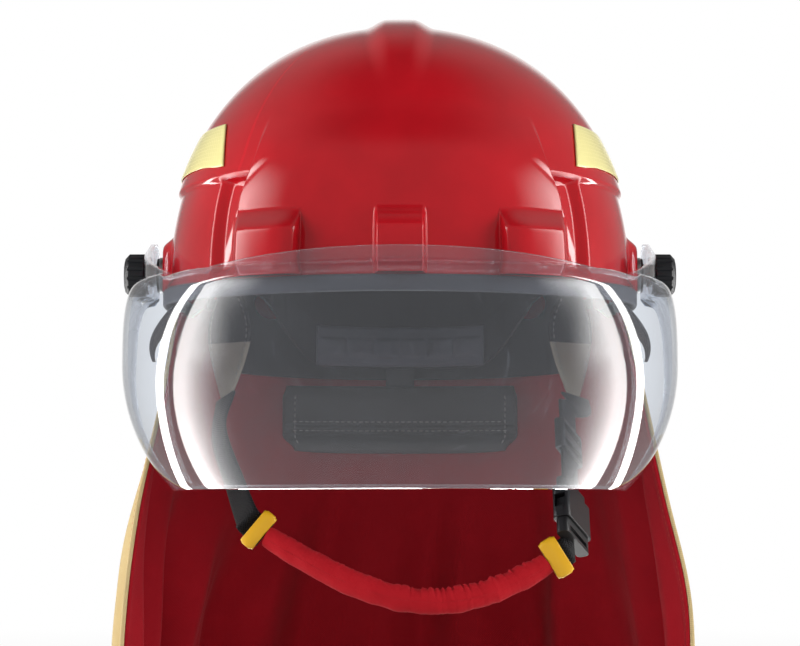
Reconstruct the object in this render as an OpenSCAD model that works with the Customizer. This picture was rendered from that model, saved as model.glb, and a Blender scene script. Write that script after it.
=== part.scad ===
// Fire helmet with a bubble visor, a neck curtain and a padded chin strap.
// Sizes are in millimetres. Z is up and the wearer looks along -Y.
// Z = 0 is the front brim, Y = 0 is the visor's axis and X = 0 the middle.

/* [Shell] */
// Width of the shell at the brim
shell_w = 246; // [236:1:256]
// From the visor's axis to the front of the brim
front_reach = 137; // [130:1:142]
// From the visor's axis to the back of the shell
rear_reach = 150; // [144:1:158]
// Height of the crown above the front brim
crown_h = 141; // [134:1:148]
// How far the back of the shell hangs below the front brim
rear_drop = 35; // [26:1:38]
// How far the rim rises at the ears
side_rise = 2; // [1:0.5:3]
// Thickness of the shell wall
shell_t = 3; // [2.4:0.1:3.4]
// Width of the low comb over the crown
comb_w = 19; // [14:1:26]
// Height of the comb above the dome
comb_h = 4; // [2:0.5:5]
// Height of the brow panel's top above the ledge
brow_rise = 16; // [12:1:18]
// How far the brow panel stands proud
brow_proud = 3; // [1:0.5:4]
// Half width of the brow panel low down
brow_half = 78; // [75:1:80]
// Depth of the niche beside the brow panel
niche_d = 6.5; // [4:0.5:7]
// Height of the ledge over the side panels
ledge_h = 52; // [50:1:54]
// How far the side panels lie below the ledge
panel_in = 2.3; // [1.5:0.1:3]

/* [Front lugs] */
// Width of the middle lug
mid_lug_w = 22; // [18:1:26]
// How far the middle lug stands out
mid_lug_d = 11; // [8:1:12]
// Half width at which a side lug begins
lug_in = 50; // [47:1:52]
// Half width at which a side lug ends
lug_out = 87; // [85:1:88]
// How far a side lug stands out
lug_d = 13; // [9:1:14]
// Height at which the slopes on top of the lugs begin
lug_h = 24; // [22:1:26]

/* [Visor] */
// Height of the visor's axis above the front brim
axis_h = 12; // [11.5:0.5:13]
// How far the bowl stands outside the shell at its widest
bowl_out = 19; // [17:1:23]
// Radius of the bowl's bulge from top to bottom
bulge_r = 90; // [84:1:100]
// Depth below the brim at which the bowl is widest
bulge_z = 38; // [34:1:42]
// From the visor's axis forward to the centre of the bowl
bowl_ahead = 32; // [28:1:34]
// Height of the top edge at the front
visor_top = 11; // [9:0.5:12]
// Depth of the bottom edge below the brim
visor_bottom = 102; // [94:1:108]
// How far the flat arms' outer faces stand outside the shell
arm_out = 8; // [7.5:0.1:9]
// Thickness of the sheet
visor_t = 3; // [2:0.1:3.2]
// Radius of the ears around the axis
ear_r = 16.5; // [15:0.5:18]

/* [Pivots and knobs] */
// Diameter of the knobs
knob_d = 22.6; // [20:0.2:22.8]
// Length of the knobs
knob_l = 13.6; // [12:0.2:15]
// Diameter of the threaded studs
stud_d = 8; // [6:0.5:9]
// Diameter of the shoulder that carries an arm
shoulder_d = 12; // [11:0.5:13]
// Diameter of a stud's flange on the shell
flange_d = 19; // [17:0.5:20]
// Thickness of the friction washers
washer_t = 1.3; // [0.8:0.1:1.6]
// Running clearance on each side of a turning fit
turn_gap = 0.08; // [0.05:0.01:0.1]
// Clearance between parts that slide past each other
slide_gap = 0.3; // [0.25:0.05:0.4]

/* [Trim and markings] */
// Height of the rubber trim below the rim
trim_h = 8.3; // [6:0.1:10]
// How far the trim stands outside the shell
trim_lip = 1; // [0.5:0.1:1.2]
// Height of the reflective strips' lower edge above the ledge
strip_rise = 6; // [4:1:8]
// Width of the reflective strips
strip_wide = 24; // [20:1:28]
// Thickness of the reflective strips
strip_t = 0.8; // [0.6:0.1:1.2]

/* [Liner and suspension] */
// Thickness of the impact liner
liner_t = 16; // [12:1:20]
// Half width inside the headband
band_a = 80; // [76:1:82]
// Half length inside the headband
band_b = 100; // [96:1:102]
// Thickness of the headband
band_t = 1.6; // [1.4:0.1:2]
// Height of the headband
band_h = 28; // [24:1:30]
// Lower edge of the headband
band_low = 4; // [2:1:5]
// Thickness of the carrier plate
carrier_t = 3; // [2.5:0.5:4]
// Width of the crown straps
strap_w = 18; // [14:1:22]
// Thickness of the crown straps
strap_t = 1.4; // [1.2:0.1:1.8]
// From the crown of the shell down to the crown straps
crown_room = 37; // [33:1:41]
// Radius of the crown pad
crown_pad_r = 34.4; // [30:0.2:38]
// Half width of the rear cradle
cradle_a = 102; // [99:1:103]
// Half length of the rear cradle
cradle_b = 130; // [128:1:132]
// Depth of the rear cradle below the brim
cradle_low = 36; // [32:1:38]
// Diameter of the two holes in the cradle
cradle_hole_d = 16; // [12:1:18]

/* [Nape unit] */
// Height of the ratchet's axis, below the brim
ratchet_low = 60; // [58:1:62]
// Diameter of the ratchet knob
ratchet_d = 38; // [34:1:40]
// Grip ribs on the ratchet knob
ratchet_ribs = 18; // [14:1:22]
// Width of the nape pad
nape_pad_w = 132; // [120:1:136]
// Height of the nape pad
nape_pad_h = 38; // [34:1:40]
// Width of the quilted pad
quilt_w = 94; // [84:1:100]
// Height of the quilted pad
quilt_h = 22; // [18:1:24]
// Channels across the quilted pad
quilt_channels = 6; // [4:1:7]

/* [Chin strap] */
// Width of the webbing
web_w = 20; // [18:0.5:22]
// Thickness of the webbing
web_t = 1.5; // [1.2:0.1:1.8]
// Lean of the straps toward the chin
strap_lean = 30; // [26:1:34]
// Turn of the webbing's face toward the cheek
strap_turn = 64; // [60:1:68]
// Height of the padded chin sleeve
sleeve_h = 13; // [11:0.5:14]
// Thickness of the padded chin sleeve
sleeve_t = 10; // [8:0.5:11]
// Gathers along the sleeve
sleeve_gathers = 9; // [6:1:12]
// Length of a yellow loop along the strap
loop_l = 9; // [7:0.5:10]
// Length of the buckle's body
buckle_l = 24; // [22:1:26]
// Width of the buckle's body
buckle_w = 31; // [29:1:34]
// Thickness of the buckle's body
buckle_t = 9; // [8:0.5:10]

/* [Ear flaps and neck curtain] */
// Depth of the ear flaps' tips below the brim
flap_low = 34; // [30:1:38]
// Depth of the hem below the brim
hem_low = 230; // [200:5:260]
// Half width at the hem
hem_half = 158; // [150:1:165]
// Thickness of the layered cloth
cloth_t = 3; // [2.5:0.5:4]
// Folds round the curtain
folds = 9; // [7:1:11]
// Depth of the folds at the hem
fold_d = 7; // [3:1:9]

/* [Hidden] */
$fn = 48;

// The outline of the dome and of its plan are superellipses with these powers.
dome_power = 2.2;
plan_power = 2.1;
half_w = shell_w / 2;
brow_top = ledge_h + brow_rise;
strip_low = ledge_h + strip_rise;
strip_high = strip_low + strip_wide;
strap_top = crown_h - crown_room;
bowl_r = half_w + bowl_out;
arm_half = half_w + arm_out;
edge = 1.5;
boss_x = half_w + 1;
boss_flat = 13.5;
boss_blend = 21;
side_x = 95;
panel_end = 60;
lug_slope = 11;
lug_step = 4;
comb_blend = 8;
liner_gap = 0.9;
liner_low_in = niche_d + shell_t + liner_gap;
carrier_z = band_low + band_h + 2;
liner_z = carrier_z + carrier_t;
stud_face = arm_half - visor_t - slide_gap;
knob_face = arm_half + slide_gap;
curtain_gap = 0.8;

function clamp01(v) = min(1, max(0, v));
function ease(lo, hi, v) = let (t = clamp01((v - lo) / (hi - lo))) t * t * (3 - 2 * t);
function mix(a, b, t) = a + (b - a) * t;
function unit(v) = v / norm(v);
function spow(v, e) = sign(v) * pow(abs(v), e);
function flipx(p) = [-p.x, p.y, p.z];

// The plain dome: angle th runs from the front over +X to the back, z is the height.
function girth(z) = pow(1 - pow(min(1, abs(z) / crown_h), dome_power), 1 / dome_power);
function reach(th) = cos(th) > 0 ? front_reach : rear_reach;
function plan(th) = [
    half_w * spow(sin(th), 2 / plan_power),
    -reach(th) * spow(cos(th), 2 / plan_power)
];
function dome(th, z) = [plan(th).x * girth(z), plan(th).y * girth(z), z];
function out_of(p, th) =
    unit([p.x / pow(half_w, 2), p.y / pow(reach(th), 2), p.z / pow(crown_h, 2)]);
function inside(th, z, depth) = let (p = dome(th, z)) p - depth * out_of(p, th);
function rim(th) =
    side_rise * ease(30, 85, 180 - abs(180 - th))
    - (side_rise + rear_drop) * ease(102, 158, 180 - abs(180 - th));

// Columns of the shell's net: lines at fixed widths in front, then even angles.
function th_at_x(x) = asin(pow(x / half_w, plan_power / 2));
function th_at_y(y, len) = acos(pow(abs(y) / len, plan_power / 2));
front_lines = [
    0, 6, mid_lug_w / 2, mid_lug_w / 2 + edge, 22, 34, lug_in - edge, lug_in, 59, 68,
    brow_half, brow_half + 4, lug_out, lug_out + edge, side_x - 3, side_x, 101, 108, 114
];
half_cols = concat(
    [for (x = front_lines) th_at_x(x)],
    [for (y = [40, boss_blend, 13]) th_at_y(y, front_reach)],
    [90],
    [for (y = [13, boss_blend]) 180 - th_at_y(y, rear_reach)],
    [for (i = [1:11]) 98 + i * 82 / 11]
);
cols = concat(half_cols, [for (i = [len(half_cols) - 2:-1:1]) 360 - half_cols[i]]);

// Rows of the net: the low ones follow the rim, and the high ones close on the crown.
low_rows = [0, 8, 16, lug_h, lug_h + lug_slope, 44, ledge_h - edge, ledge_h + edge];
crown_steps = 10;
ledge_turn = asin(pow((ledge_h + edge) / crown_h, dome_power / 2));
function row_z(k, th) =
    k < 7 ? mix(rim(th), ledge_h - edge, low_rows[k] / (ledge_h - edge))
    : k == 7 ? ledge_h + edge
    : crown_h * pow(sin(mix(ledge_turn, 90, (k - 7) / (crown_steps + 1))), 2 / dome_power);
rows = 8 + crown_steps;

// The brow panel's sides lean inward above the lugs, so the net's columns lean too.
function lean(x0, z) =
    4.5 * ease(35, 64, z) * ease(60, brow_half, x0) * (1 - ease(brow_half + 4, 98, x0));
function col_x(th) = abs(plan(th).x);
function net_th(th, z) =
    cos(th) <= 0.02 ? th
    : let (t = th_at_x(max(0, col_x(th) - lean(col_x(th), z)))) th > 180 ? 360 - t : t;

// How far the surface stands off the plain dome at a column and a height.
function low_side(z) = z < ledge_h ? 1 : 0;
function front_off(x0, z) =
    x0 <= brow_half + 0.1 ? brow_proud * (1 - ease(brow_top - 2, brow_top + 11, z))
    : x0 < side_x - 3.1 ? -niche_d * low_side(z)
    : x0 < side_x - 0.1 ? -mix(niche_d, panel_in, 0.5) * low_side(z)
    : -panel_in * low_side(z);
function panel_off(y, z) = -panel_in * low_side(z) * (1 - ease(panel_end - 8, panel_end + 8, y));
function comb_off(p) =
    comb_h * (1 - ease(comb_w / 2 - 2, comb_w / 2 + comb_blend, abs(p.x)))
    * (p.y < 0 ? ease(76, 108, p.z) : ease(50, 92, p.z));
function off(th, p, z) =
    ease(rim(th), rim(th) + 7, z)
    * (cos(th) > 0.02 ? front_off(col_x(th), z) : panel_off(p.y, z)) + comb_off(p);
function lug_off(th, z) =
    let (x0 = col_x(th), fall = clamp01((lug_h + lug_slope - z) / lug_slope))
    cos(th) < 0.1 ? 0
    : x0 <= mid_lug_w / 2 + 0.1 ? mid_lug_d * fall
    : x0 < lug_in - 0.1 || x0 > lug_out + 0.1 ? 0
    : x0 <= brow_half + 0.1 ? lug_d * fall * (x0 < lug_in + 1 ? 0.75 : 1)
    : (lug_d - lug_step) * fall;
function boss_off(p) =
    1 - ease(boss_flat, boss_blend, max(abs(p.y), abs(p.z - axis_h)));
function shell_point(th0, k, wall) =
    let (
        z = row_z(k, th0),
        th = net_th(th0, z),
        p = dome(th, z),
        o = off(th0, p, z),
        q = p + (wall == 0 ? o : min(o, 0) - wall) * out_of(p, th),
        b = wall == 0 ? boss_off(p) : 0
    )
    wall == 0
    ? [mix(q.x, sign(q.x) * boss_x, b), q.y - lug_off(th0, z), q.z]
    : q;

// A solid between two nets of points, the first one outside.
module slab(a, b) {
    r = len(a);
    c = len(a[0]);
    n = r * c;
    function at(i, j) = i * c + j;
    polyhedron(
        concat([for (row = a) each row], [for (row = b) each row]),
        concat(
            [for (i = [0:r - 2], j = [0:c - 2]) [at(i, j), at(i + 1, j), at(i + 1, j + 1)]],
            [for (i = [0:r - 2], j = [0:c - 2]) [at(i, j), at(i + 1, j + 1), at(i, j + 1)]],
            [for (i = [0:r - 2], j = [0:c - 2])
                [n + at(i, j), n + at(i + 1, j + 1), n + at(i + 1, j)]],
            [for (i = [0:r - 2], j = [0:c - 2])
                [n + at(i, j), n + at(i, j + 1), n + at(i + 1, j + 1)]],
            [for (i = [0:r - 2], e = [0, c - 1]) let (p = at(i, e), q = at(i + 1, e))
                e == 0 ? [p, n + q, q] : [p, q, n + q]],
            [for (i = [0:r - 2], e = [0, c - 1]) let (p = at(i, e), q = at(i + 1, e))
                e == 0 ? [p, n + p, n + q] : [p, n + q, n + p]],
            [for (j = [0:c - 2], e = [0, r - 1]) let (p = at(e, j), q = at(e, j + 1))
                e == 0 ? [p, q, n + q] : [p, n + q, q]],
            [for (j = [0:c - 2], e = [0, r - 1]) let (p = at(e, j), q = at(e, j + 1))
                e == 0 ? [p, n + q, n + p] : [p, n + p, n + q]]
        )
    );
}

// A solid through closed rings of points, with a tip at each end.
module loft(rings, tip_a, tip_b) {
    c = len(rings[0]);
    r = len(rings);
    n = r * c;
    polyhedron(
        concat([for (ring = rings) each ring], [tip_a, tip_b]),
        concat(
            [for (i = [0:r - 2], j = [0:c - 1])
                [i * c + j, i * c + (j + 1) % c, (i + 1) * c + (j + 1) % c]],
            [for (i = [0:r - 2], j = [0:c - 1])
                [i * c + j, (i + 1) * c + (j + 1) % c, (i + 1) * c + j]],
            [for (j = [0:c - 1]) [n, (j + 1) % c, j]],
            [for (j = [0:c - 1]) [n + 1, n - c + j, n - c + (j + 1) % c]]
        )
    );
}

// A solid through closed rings whose last ring joins the first.
module hoop(rings) {
    c = len(rings[0]);
    r = len(rings);
    polyhedron(
        [for (ring = rings) each ring],
        concat(
            [for (i = [0:r - 1], j = [0:c - 1])
                [i * c + j, i * c + (j + 1) % c, ((i + 1) % r) * c + (j + 1) % c]],
            [for (i = [0:r - 1], j = [0:c - 1])
                [i * c + j, ((i + 1) % r) * c + (j + 1) % c, ((i + 1) % r) * c + j]]
        )
    );
}

// Part of an elliptical band seen from above, from angle t0 to t1.
module band_plan(a, b, t, t0, t1, n) {
    polygon(concat(
        [for (i = [0:n]) let (w = mix(t0, t1, i / n)) [(a + t) * sin(w), -(b + t) * cos(w)]],
        [for (i = [n:-1:0]) let (w = mix(t0, t1, i / n)) [a * sin(w), -b * cos(w)]]
    ));
}

module rounded_box(size, r) {
    linear_extrude(size.z, center = true)
        union() {
            square([size.x - 2 * r, size.y], center = true);
            square([size.x, size.y - 2 * r], center = true);
            for (sx = [-1, 1], sy = [-1, 1])
                translate([sx * (size.x / 2 - r), sy * (size.y / 2 - r)])
                    circle(r);
        }
}

module shell() {
    outer = [for (k = [rows - 1:-1:0]) [for (th = cols) shell_point(th, k, 0)]];
    inner = [for (k = [0:rows - 1]) [for (th = cols) shell_point(th, k, shell_t)]];
    color("crimson")
        loft(concat(outer, inner), [0, 0, crown_h + comb_h], [0, 0, crown_h - shell_t]);
}

module edge_trim() {
    function edge_at(th, depth, dz) = let (p = inside(th, rim(th), depth)) [p.x, p.y, rim(th) + dz];
    color("dimgray")
        hoop([
            [for (th = cols) edge_at(th, shell_t + 1.5, -0.05)],
            [for (th = cols) edge_at(th, -trim_lip, -0.05)],
            [for (th = cols) edge_at(th, -trim_lip, 1 - trim_h)],
            [for (th = cols) edge_at(th, 0.2, -trim_h)],
            [for (th = cols) edge_at(th, shell_t + 1.5, 1.5 - trim_h)]
        ]);
}

strip_seat = 0.3;
strip_turns = [for (i = [0:16]) mix(52, 132, i / 16)];
module reflective_strip() {
    function low_at(th) = strip_low + 1.5 * ease(52, 60, th);
    function on_dome(th, f, lift) = inside(th, mix(low_at(th), strip_high, f), -lift);
    color("palegoldenrod")
        slab(
            [for (f = [0, 0.5, 1]) [for (th = strip_turns) on_dome(th, f, strip_seat + strip_t)]],
            [for (f = [0, 0.5, 1]) [for (th = strip_turns) on_dome(th, f, strip_seat)]]
        );
}

liner_cols = [for (i = [0:39]) i * 9];
liner_rows = concat(
    [liner_z, mix(liner_z, ledge_h + 8, 0.5), ledge_h + 8],
    [for (share = [0.54, 0.65, 0.75, 0.84, 0.91]) share * crown_h]
);
module impact_liner() {
    function skin(z) = z < ledge_h + 2 ? liner_low_in : shell_t + liner_gap + 1;
    function liner_in(z) = liner_low_in + liner_t * ease(liner_z - 30, ledge_h + 20, z);
    outer = [for (i = [len(liner_rows) - 1:-1:0])
        [for (th = liner_cols) inside(th, liner_rows[i], skin(liner_rows[i]))]];
    inner = [for (i = [0:len(liner_rows) - 1])
        [for (th = liner_cols) let (p = inside(th, liner_rows[i] * 0.92, liner_in(liner_rows[i])))
            [p.x, p.y, i == 0 ? liner_z : p.z]]];
    lowest = [for (th = liner_cols) let (p = inside(th, liner_z, liner_low_in)) [p.x, p.y, liner_z]];
    color("gray")
        loft(
            concat([for (i = [0:len(outer) - 2]) outer[i]], [lowest], inner),
            [0, 0, crown_h - shell_t - liner_gap - 2],
            [0, 0, crown_h - shell_t - liner_t - 4]
        );
}

module liner_carrier() {
    turns = [for (i = [0:59]) i * 6];
    outline = [for (th = turns) let (p = inside(th, liner_z, liner_low_in)) [p.x, p.y]];
    color("black")
        translate([0, 0, carrier_z])
            linear_extrude(carrier_t)
                difference() {
                    polygon(outline);
                    polygon([for (th = turns) [(band_a + 7) * sin(th), -(band_b + 7) * cos(th)]]);
                }
}

bracket_turns = [0, 100, 180, 260];
module carrier_brackets() {
    color("black")
        for (th = bracket_turns) {
            wall_in = shell_t + (abs(cos(th)) < 0.5 ? panel_in : 0);
            p = inside(th, carrier_z, wall_in + 2 * slide_gap);
            q = inside(th, carrier_z, liner_low_in + 6);
            yaw = atan2(p.y, p.x);
            translate([q.x, q.y, carrier_z - 4])
                rotate([0, 0, yaw])
                    translate([0, -7, 0])
                        cube([norm([p.x - q.x, p.y - q.y]) - 0.5, 14, 4]);
        }
}

headband_end = 118;
module headband() {
    color("black")
        translate([0, 0, band_low])
            linear_extrude(band_h)
                band_plan(band_a, band_b, band_t, -headband_end, headband_end, 48);
}

// A pad on the inside of an elliptical band, crowned, with rounded edges.
function pad_swell(u, v) = pow(max(0, 1 - pow(abs(2 * u - 1), 6)), 0.5)
    * pow(max(0, 1 - pow(abs(2 * v - 1), 4)), 0.5);

module brow_pad() {
    function pad_at(u, v, depth) =
        let (w = mix(-62, 62, u), z = mix(band_low - 1, band_low + band_h + 1, v))
        [(band_a - depth) * sin(w), -(band_b - depth) * cos(w), z];
    us = [for (i = [0:20]) i / 20];
    vs = [for (i = [0:4]) i / 4];
    color("dimgray")
        slab(
            [for (v = vs) [for (u = us) pad_at(u, v, slide_gap)]],
            [for (v = vs) [for (u = us) pad_at(u, v, slide_gap + 1.5 + 4 * pad_swell(u, v))]]
        );
}

// The straps cross one above the other, the shortest one below.
strap_turns = [90, 28, 152];
strap_sweep = 88;
strap_stack = strap_t + 0.75;
clip_r = 5.4;
strap_low = band_low + band_h - 6;
function strap_drop(r) =
    (strap_top - strap_low) * (1 - sqrt(1 - pow(r / (band_a + clip_r), 2))) + 0.006 * r;
function strap_yaw(th) = atan2(-(band_b + band_t) * cos(th), (band_a + band_t) * sin(th));
function strap_arc(th, top, lift) =
    let (a = norm([(band_a + clip_r) * sin(th), (band_b + clip_r) * cos(th)]))
    [for (i = [0:24]) let (w = mix(-strap_sweep, strap_sweep, i / 24))
        [(a + lift) * sin(w), strap_low + (top - strap_low + lift) * cos(w)]];
module crown_strap(i) {
    th = strap_turns[i];
    top = strap_top + i * strap_stack;
    color("darkslategray")
        rotate([0, 0, strap_yaw(th)])
            rotate([90, 0, 0])
                linear_extrude(strap_w, center = true)
                    polygon(concat(
                        strap_arc(th, top, 0),
                        [for (k = [24:-1:0]) strap_arc(th, top, -strap_t)[k]]
                    ));
}

module crown_pad() {
    color("dimgray")
        translate([0, 0, strap_top - strap_t - slide_gap])
            rotate_extrude()
                polygon([for (p = concat(
                    [[0, -7], [0.52, -8.4], [0.84, -12], [0.96, -12.4], [1, -10.6]],
                    [for (f = [0.96, 0.76, 0.52, 0.26, 0]) [f, -strap_drop(f * crown_pad_r)]]
                )) [p.x * crown_pad_r, p.y]]);
}

clip_hook = 0.5;
clip_wall = 0.9;
module strap_clips() {
    reach_out = clip_r + 1.6;
    low = strap_low - 3;
    color("black")
        difference() {
            for (th = strap_turns, s = [0, 180]) {
                x = (band_a + band_t) * sin(th + s);
                y = -(band_b + band_t) * cos(th + s);
                translate([x, y, low])
                    rotate([0, 0, strap_yaw(th) + s])
                        translate([clip_hook, -strap_w / 2 - 1.5, 0])
                            difference() {
                                cube([reach_out, strap_w + 3, carrier_z - low]);
                                translate([clip_wall, 1.2, 2.6])
                                    cube([reach_out - 2 * clip_wall, strap_w + 0.6, carrier_z]);
                            }
            }
            translate([0, 0, low - 1])
                linear_extrude(carrier_z)
                    polygon([for (i = [0:95]) let (w = i * 3.75)
                        [(band_a + band_t + slide_gap) * sin(w), (band_b + band_t + slide_gap) * cos(w)]]);
        }
}

cradle_end = 106;
cradle_hole_x = 73;
cradle_hole_z = 4;
module rear_cradle() {
    color("black")
        difference() {
            translate([0, 0, -cradle_low])
                linear_extrude(cradle_low + carrier_z)
                    band_plan(cradle_a - 2, cradle_b - 2, 2, cradle_end, 360 - cradle_end, 60);
            for (s = [-1, 1])
                translate([s * cradle_hole_x, cradle_b / 2, cradle_hole_z])
                    rotate([-90, 0, 0])
                        cylinder(d = cradle_hole_d, h = cradle_b / 2);
        }
}

// The nape frame overlaps the headband's tails on the outside and drops behind.
frame_in_a = band_a + band_t + slide_gap;
frame_in_b = band_b + band_t + slide_gap;
frame_t = 2;
frame_end = 106;
quilt_z = -19;
frame_half_h = 12;
nape_y = frame_in_b + frame_t;
module nape_frame() {
    turns = [for (i = [0:36]) mix(frame_end, 360 - frame_end, i / 36)];
    function mid_z(w) = mix(band_low + band_h / 2 - 1, quilt_z,
        ease(frame_end + 6, 150, 180 - abs(180 - w)));
    function at_turn(w, d, dz) = [(frame_in_a + d) * sin(w), -(frame_in_b + d) * cos(w), mid_z(w) + dz];
    color("black")
        slab(
            [for (dz = [-frame_half_h, frame_half_h]) [for (w = turns) at_turn(w, frame_t, dz)]],
            [for (dz = [-frame_half_h, frame_half_h]) [for (w = turns) at_turn(w, 0, dz)]]
        );
}

module quilted_pad() {
    us = [for (i = [0:quilt_channels * 6]) i / (quilt_channels * 6)];
    vs = [0, 0.12, 0.3, 0.5, 0.7, 0.88, 1];
    function quilt(u, v) = 1.6 + (3 + 3 * abs(sin(180 * quilt_channels * u))) * pad_swell(u, v);
    function quilt_at(u, v, d) =
        let (w = 180 - asin((u - 0.5) * quilt_w / frame_in_a))
        [(frame_in_a - d) * sin(w), -(frame_in_b - d) * cos(w), quilt_z + quilt_h * (v - 0.5)];
    color("black")
        slab(
            [for (v = vs) [for (u = us) quilt_at(u, v, quilt(u, v))]],
            [for (v = vs) [for (u = us) quilt_at(u, v, slide_gap)]]
        );
}

housing_w = 72;
neck_w = 16;
housing_h = 30;
housing_d = 7;
housing_y = nape_y + 1.4;
module housing_plate(w, h, d, r) {
    rotate([90, 0, 0])
        rounded_box([w, h, d], r);
}
module ratchet_housing() {
    color("black")
        difference() {
            union() {
                translate([0, housing_y + housing_d / 2, -ratchet_low])
                    housing_plate(housing_w, housing_h, housing_d, 12);
                translate([-neck_w / 2, housing_y, -ratchet_low + 4])
                    cube([neck_w, 4, ratchet_low - 4 + quilt_z]);
                translate([-neck_w / 2, nape_y + slide_gap, quilt_z - frame_half_h])
                    cube([neck_w, housing_y - nape_y + 1, frame_half_h]);
            }
            translate([0, housing_y + housing_d / 2 + 1.5, -ratchet_low])
                housing_plate(housing_w - 6, housing_h - 14, housing_d + 0.02, 5);
            translate([0, housing_y - 1, -ratchet_low])
                rotate([-90, 0, 0])
                    cylinder(d = 6 + 2 * turn_gap, h = housing_d + 4);
        }
}

cover_t = 2.4;
cover_y = housing_y + housing_d;
shaft_d = 9;
module ratchet_cover() {
    color("dimgray")
        difference() {
            translate([0, cover_y + cover_t / 2, -ratchet_low])
                housing_plate(housing_w, housing_h, cover_t, 12);
            translate([0, cover_y - 1, -ratchet_low])
                rotate([-90, 0, 0])
                    cylinder(d = shaft_d + 2 * turn_gap, h = cover_t + 2);
        }
}

pinion_teeth = 12;
pinion_r = 5.4;
pinion_root = pinion_r - 1.4;
module ratchet_pinion() {
    color("silver")
        translate([0, housing_y + slide_gap, -ratchet_low])
            rotate([-90, 0, 0])
                union() {
                    cylinder(d = 6, h = 3);
                    translate([0, 0, 2])
                        linear_extrude(housing_d - 2 - 2 * slide_gap)
                            union() {
                                circle(pinion_root);
                                for (i = [0:pinion_teeth - 1])
                                    rotate(i * 360 / pinion_teeth)
                                        polygon([
                                            [pinion_root - 0.4, -1.1], [pinion_r, -0.45],
                                            [pinion_r, 0.45], [pinion_root - 0.4, 1.1]
                                        ]);
                            }
                }
}

knob_y = cover_y + cover_t + slide_gap;
knob_depth = 11;
module ratchet_knob() {
    color("black")
        translate([0, knob_y, -ratchet_low])
            rotate([-90, 0, 0])
                union() {
                    rotate_extrude($fn = 72)
                        polygon([
                            [0, 0], [ratchet_d / 2 - 5, 0], [ratchet_d / 2 - 3.4, 1.4],
                            [ratchet_d / 2 - 3.4, knob_depth - 1.4], [ratchet_d / 2 - 5, knob_depth],
                            [9, knob_depth], [7, knob_depth - 1.2], [0, knob_depth - 1.2]
                        ]);
                    translate([0, 0, 2])
                        linear_extrude(knob_depth - 4)
                            polygon([for (i = [0:ratchet_ribs * 4 - 1]) let (
                                w = i * 90 / ratchet_ribs,
                                r = ratchet_d / 2 - [0, 0, 1.7, 1.7][i % 4]
                            ) [r * cos(w), r * sin(w)]]);
                    translate([0, 0, -(cover_t + 2 * slide_gap)])
                        cylinder(d = shaft_d, h = cover_t + 2 * slide_gap + 0.5);
                }
}

module nape_pad() {
    us = [for (i = [0:20]) i / 20];
    vs = [0, 0.06, 0.16, 0.3, 0.5, 0.7, 0.84, 0.94, 1];
    function roll(v) = 3 * exp(-pow((v - 0.14) / 0.09, 2)) - 1.6 * exp(-pow((v - 0.3) / 0.05, 2));
    function nape_at(u, v, d) =
        let (x = (u - 0.5) * nape_pad_w, z = -ratchet_low + nape_pad_h * (v - 0.5))
        [x, housing_y - slide_gap - d - 0.0022 * x * x, z];
    color("black")
        slab(
            [for (v = vs) [for (u = us) nape_at(u, v, 1.5 + (6 + roll(v)) * pad_swell(u, v))]],
            [for (v = vs) [for (u = us) nape_at(u, v, 0)]]
        );
}

// The bowl's outer radius at a height: a wide bulge with a quick shoulder into a
// flat, which begins lower down beside the knobs than it does in front of them.
function bulge(z) = bowl_r - bulge_r + sqrt(max(0, pow(bulge_r, 2) - pow(z + bulge_z, 2)));
function bowl(z, flat_z) =
    z < -bulge_z ? bulge(z)
    : arm_half + (bowl_r - arm_half) * pow(max(0, 1 - pow((z + bulge_z) / (flat_z + bulge_z), 3)), 1 / 3);
front_flat = 4;
side_flat = axis_h - knob_d / 2 - 1;
bowl_high = 34;
bowl_steps = 12;
shoulder_steps = 9;
side_step = 14;
function bowl_levels(flat_z) = concat(
    [for (i = [0:bowl_steps]) mix(-visor_bottom - 6, -bulge_z, i / bowl_steps)],
    [for (i = [1:shoulder_steps]) -bulge_z + (flat_z + bulge_z) * pow(sin(90 * i / shoulder_steps), 2 / 3)],
    [bowl_high]
);
function bowl_side(flat_z, depth) = concat(
    [[0, -visor_bottom - 6 - depth]],
    [for (z = bowl_levels(flat_z)) [bowl(z, flat_z) - depth, z - (z == -visor_bottom - 6 ? depth : 0)]],
    [[bowl(bowl_high, flat_z) - depth, bowl_high + depth], [0, bowl_high + depth]]
);
notch_y = 108;
notch_z = 1;
visor_back = 20;
rear_edge = [[4, -34], [-14, -visor_bottom + 26], [-22, -visor_bottom + 9], [-38, -visor_bottom]];
function tangent_turn(p, side) = let (d = p - [0, axis_h])
    atan2(d.y, d.x) + side * acos(ear_r / norm(d));
module visor_outline() {
    front = bowl_ahead + bowl_r + 5;
    slope = (visor_top - notch_z) / (bowl_ahead + arm_half - notch_y);
    notch = [-notch_y, notch_z];
    t0 = tangent_turn(notch, -1) + 360;
    t1 = tangent_turn(rear_edge[0], 1);
    polygon(concat(
        [[-front, notch_z + slope * (front - notch_y)], notch],
        [for (i = [0:16]) let (w = mix(t0, t1, i / 16)) ear_r * [cos(w), sin(w)] + [0, axis_h]],
        rear_edge,
        [[-front, -visor_bottom]]
    ));
}
module bowl_solid(depth) {
    translate([0, -bowl_ahead, 0])
        rotate([0, 0, 180])
            rotate_extrude(angle = 180, $fn = 96)
                polygon(bowl_side(front_flat, depth));
    for (s = [0, 1])
        mirror([s, 0, 0]) {
            translate([0, -side_step - depth, 0])
                rotate([90, 0, 0])
                    linear_extrude(bowl_ahead - side_step - depth)
                        polygon(bowl_side(front_flat, depth));
            translate([0, visor_back + depth, 0])
                rotate([90, 0, 0])
                    linear_extrude(visor_back + bowl_ahead)
                        polygon(bowl_side(side_flat, depth));
        }
}
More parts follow.
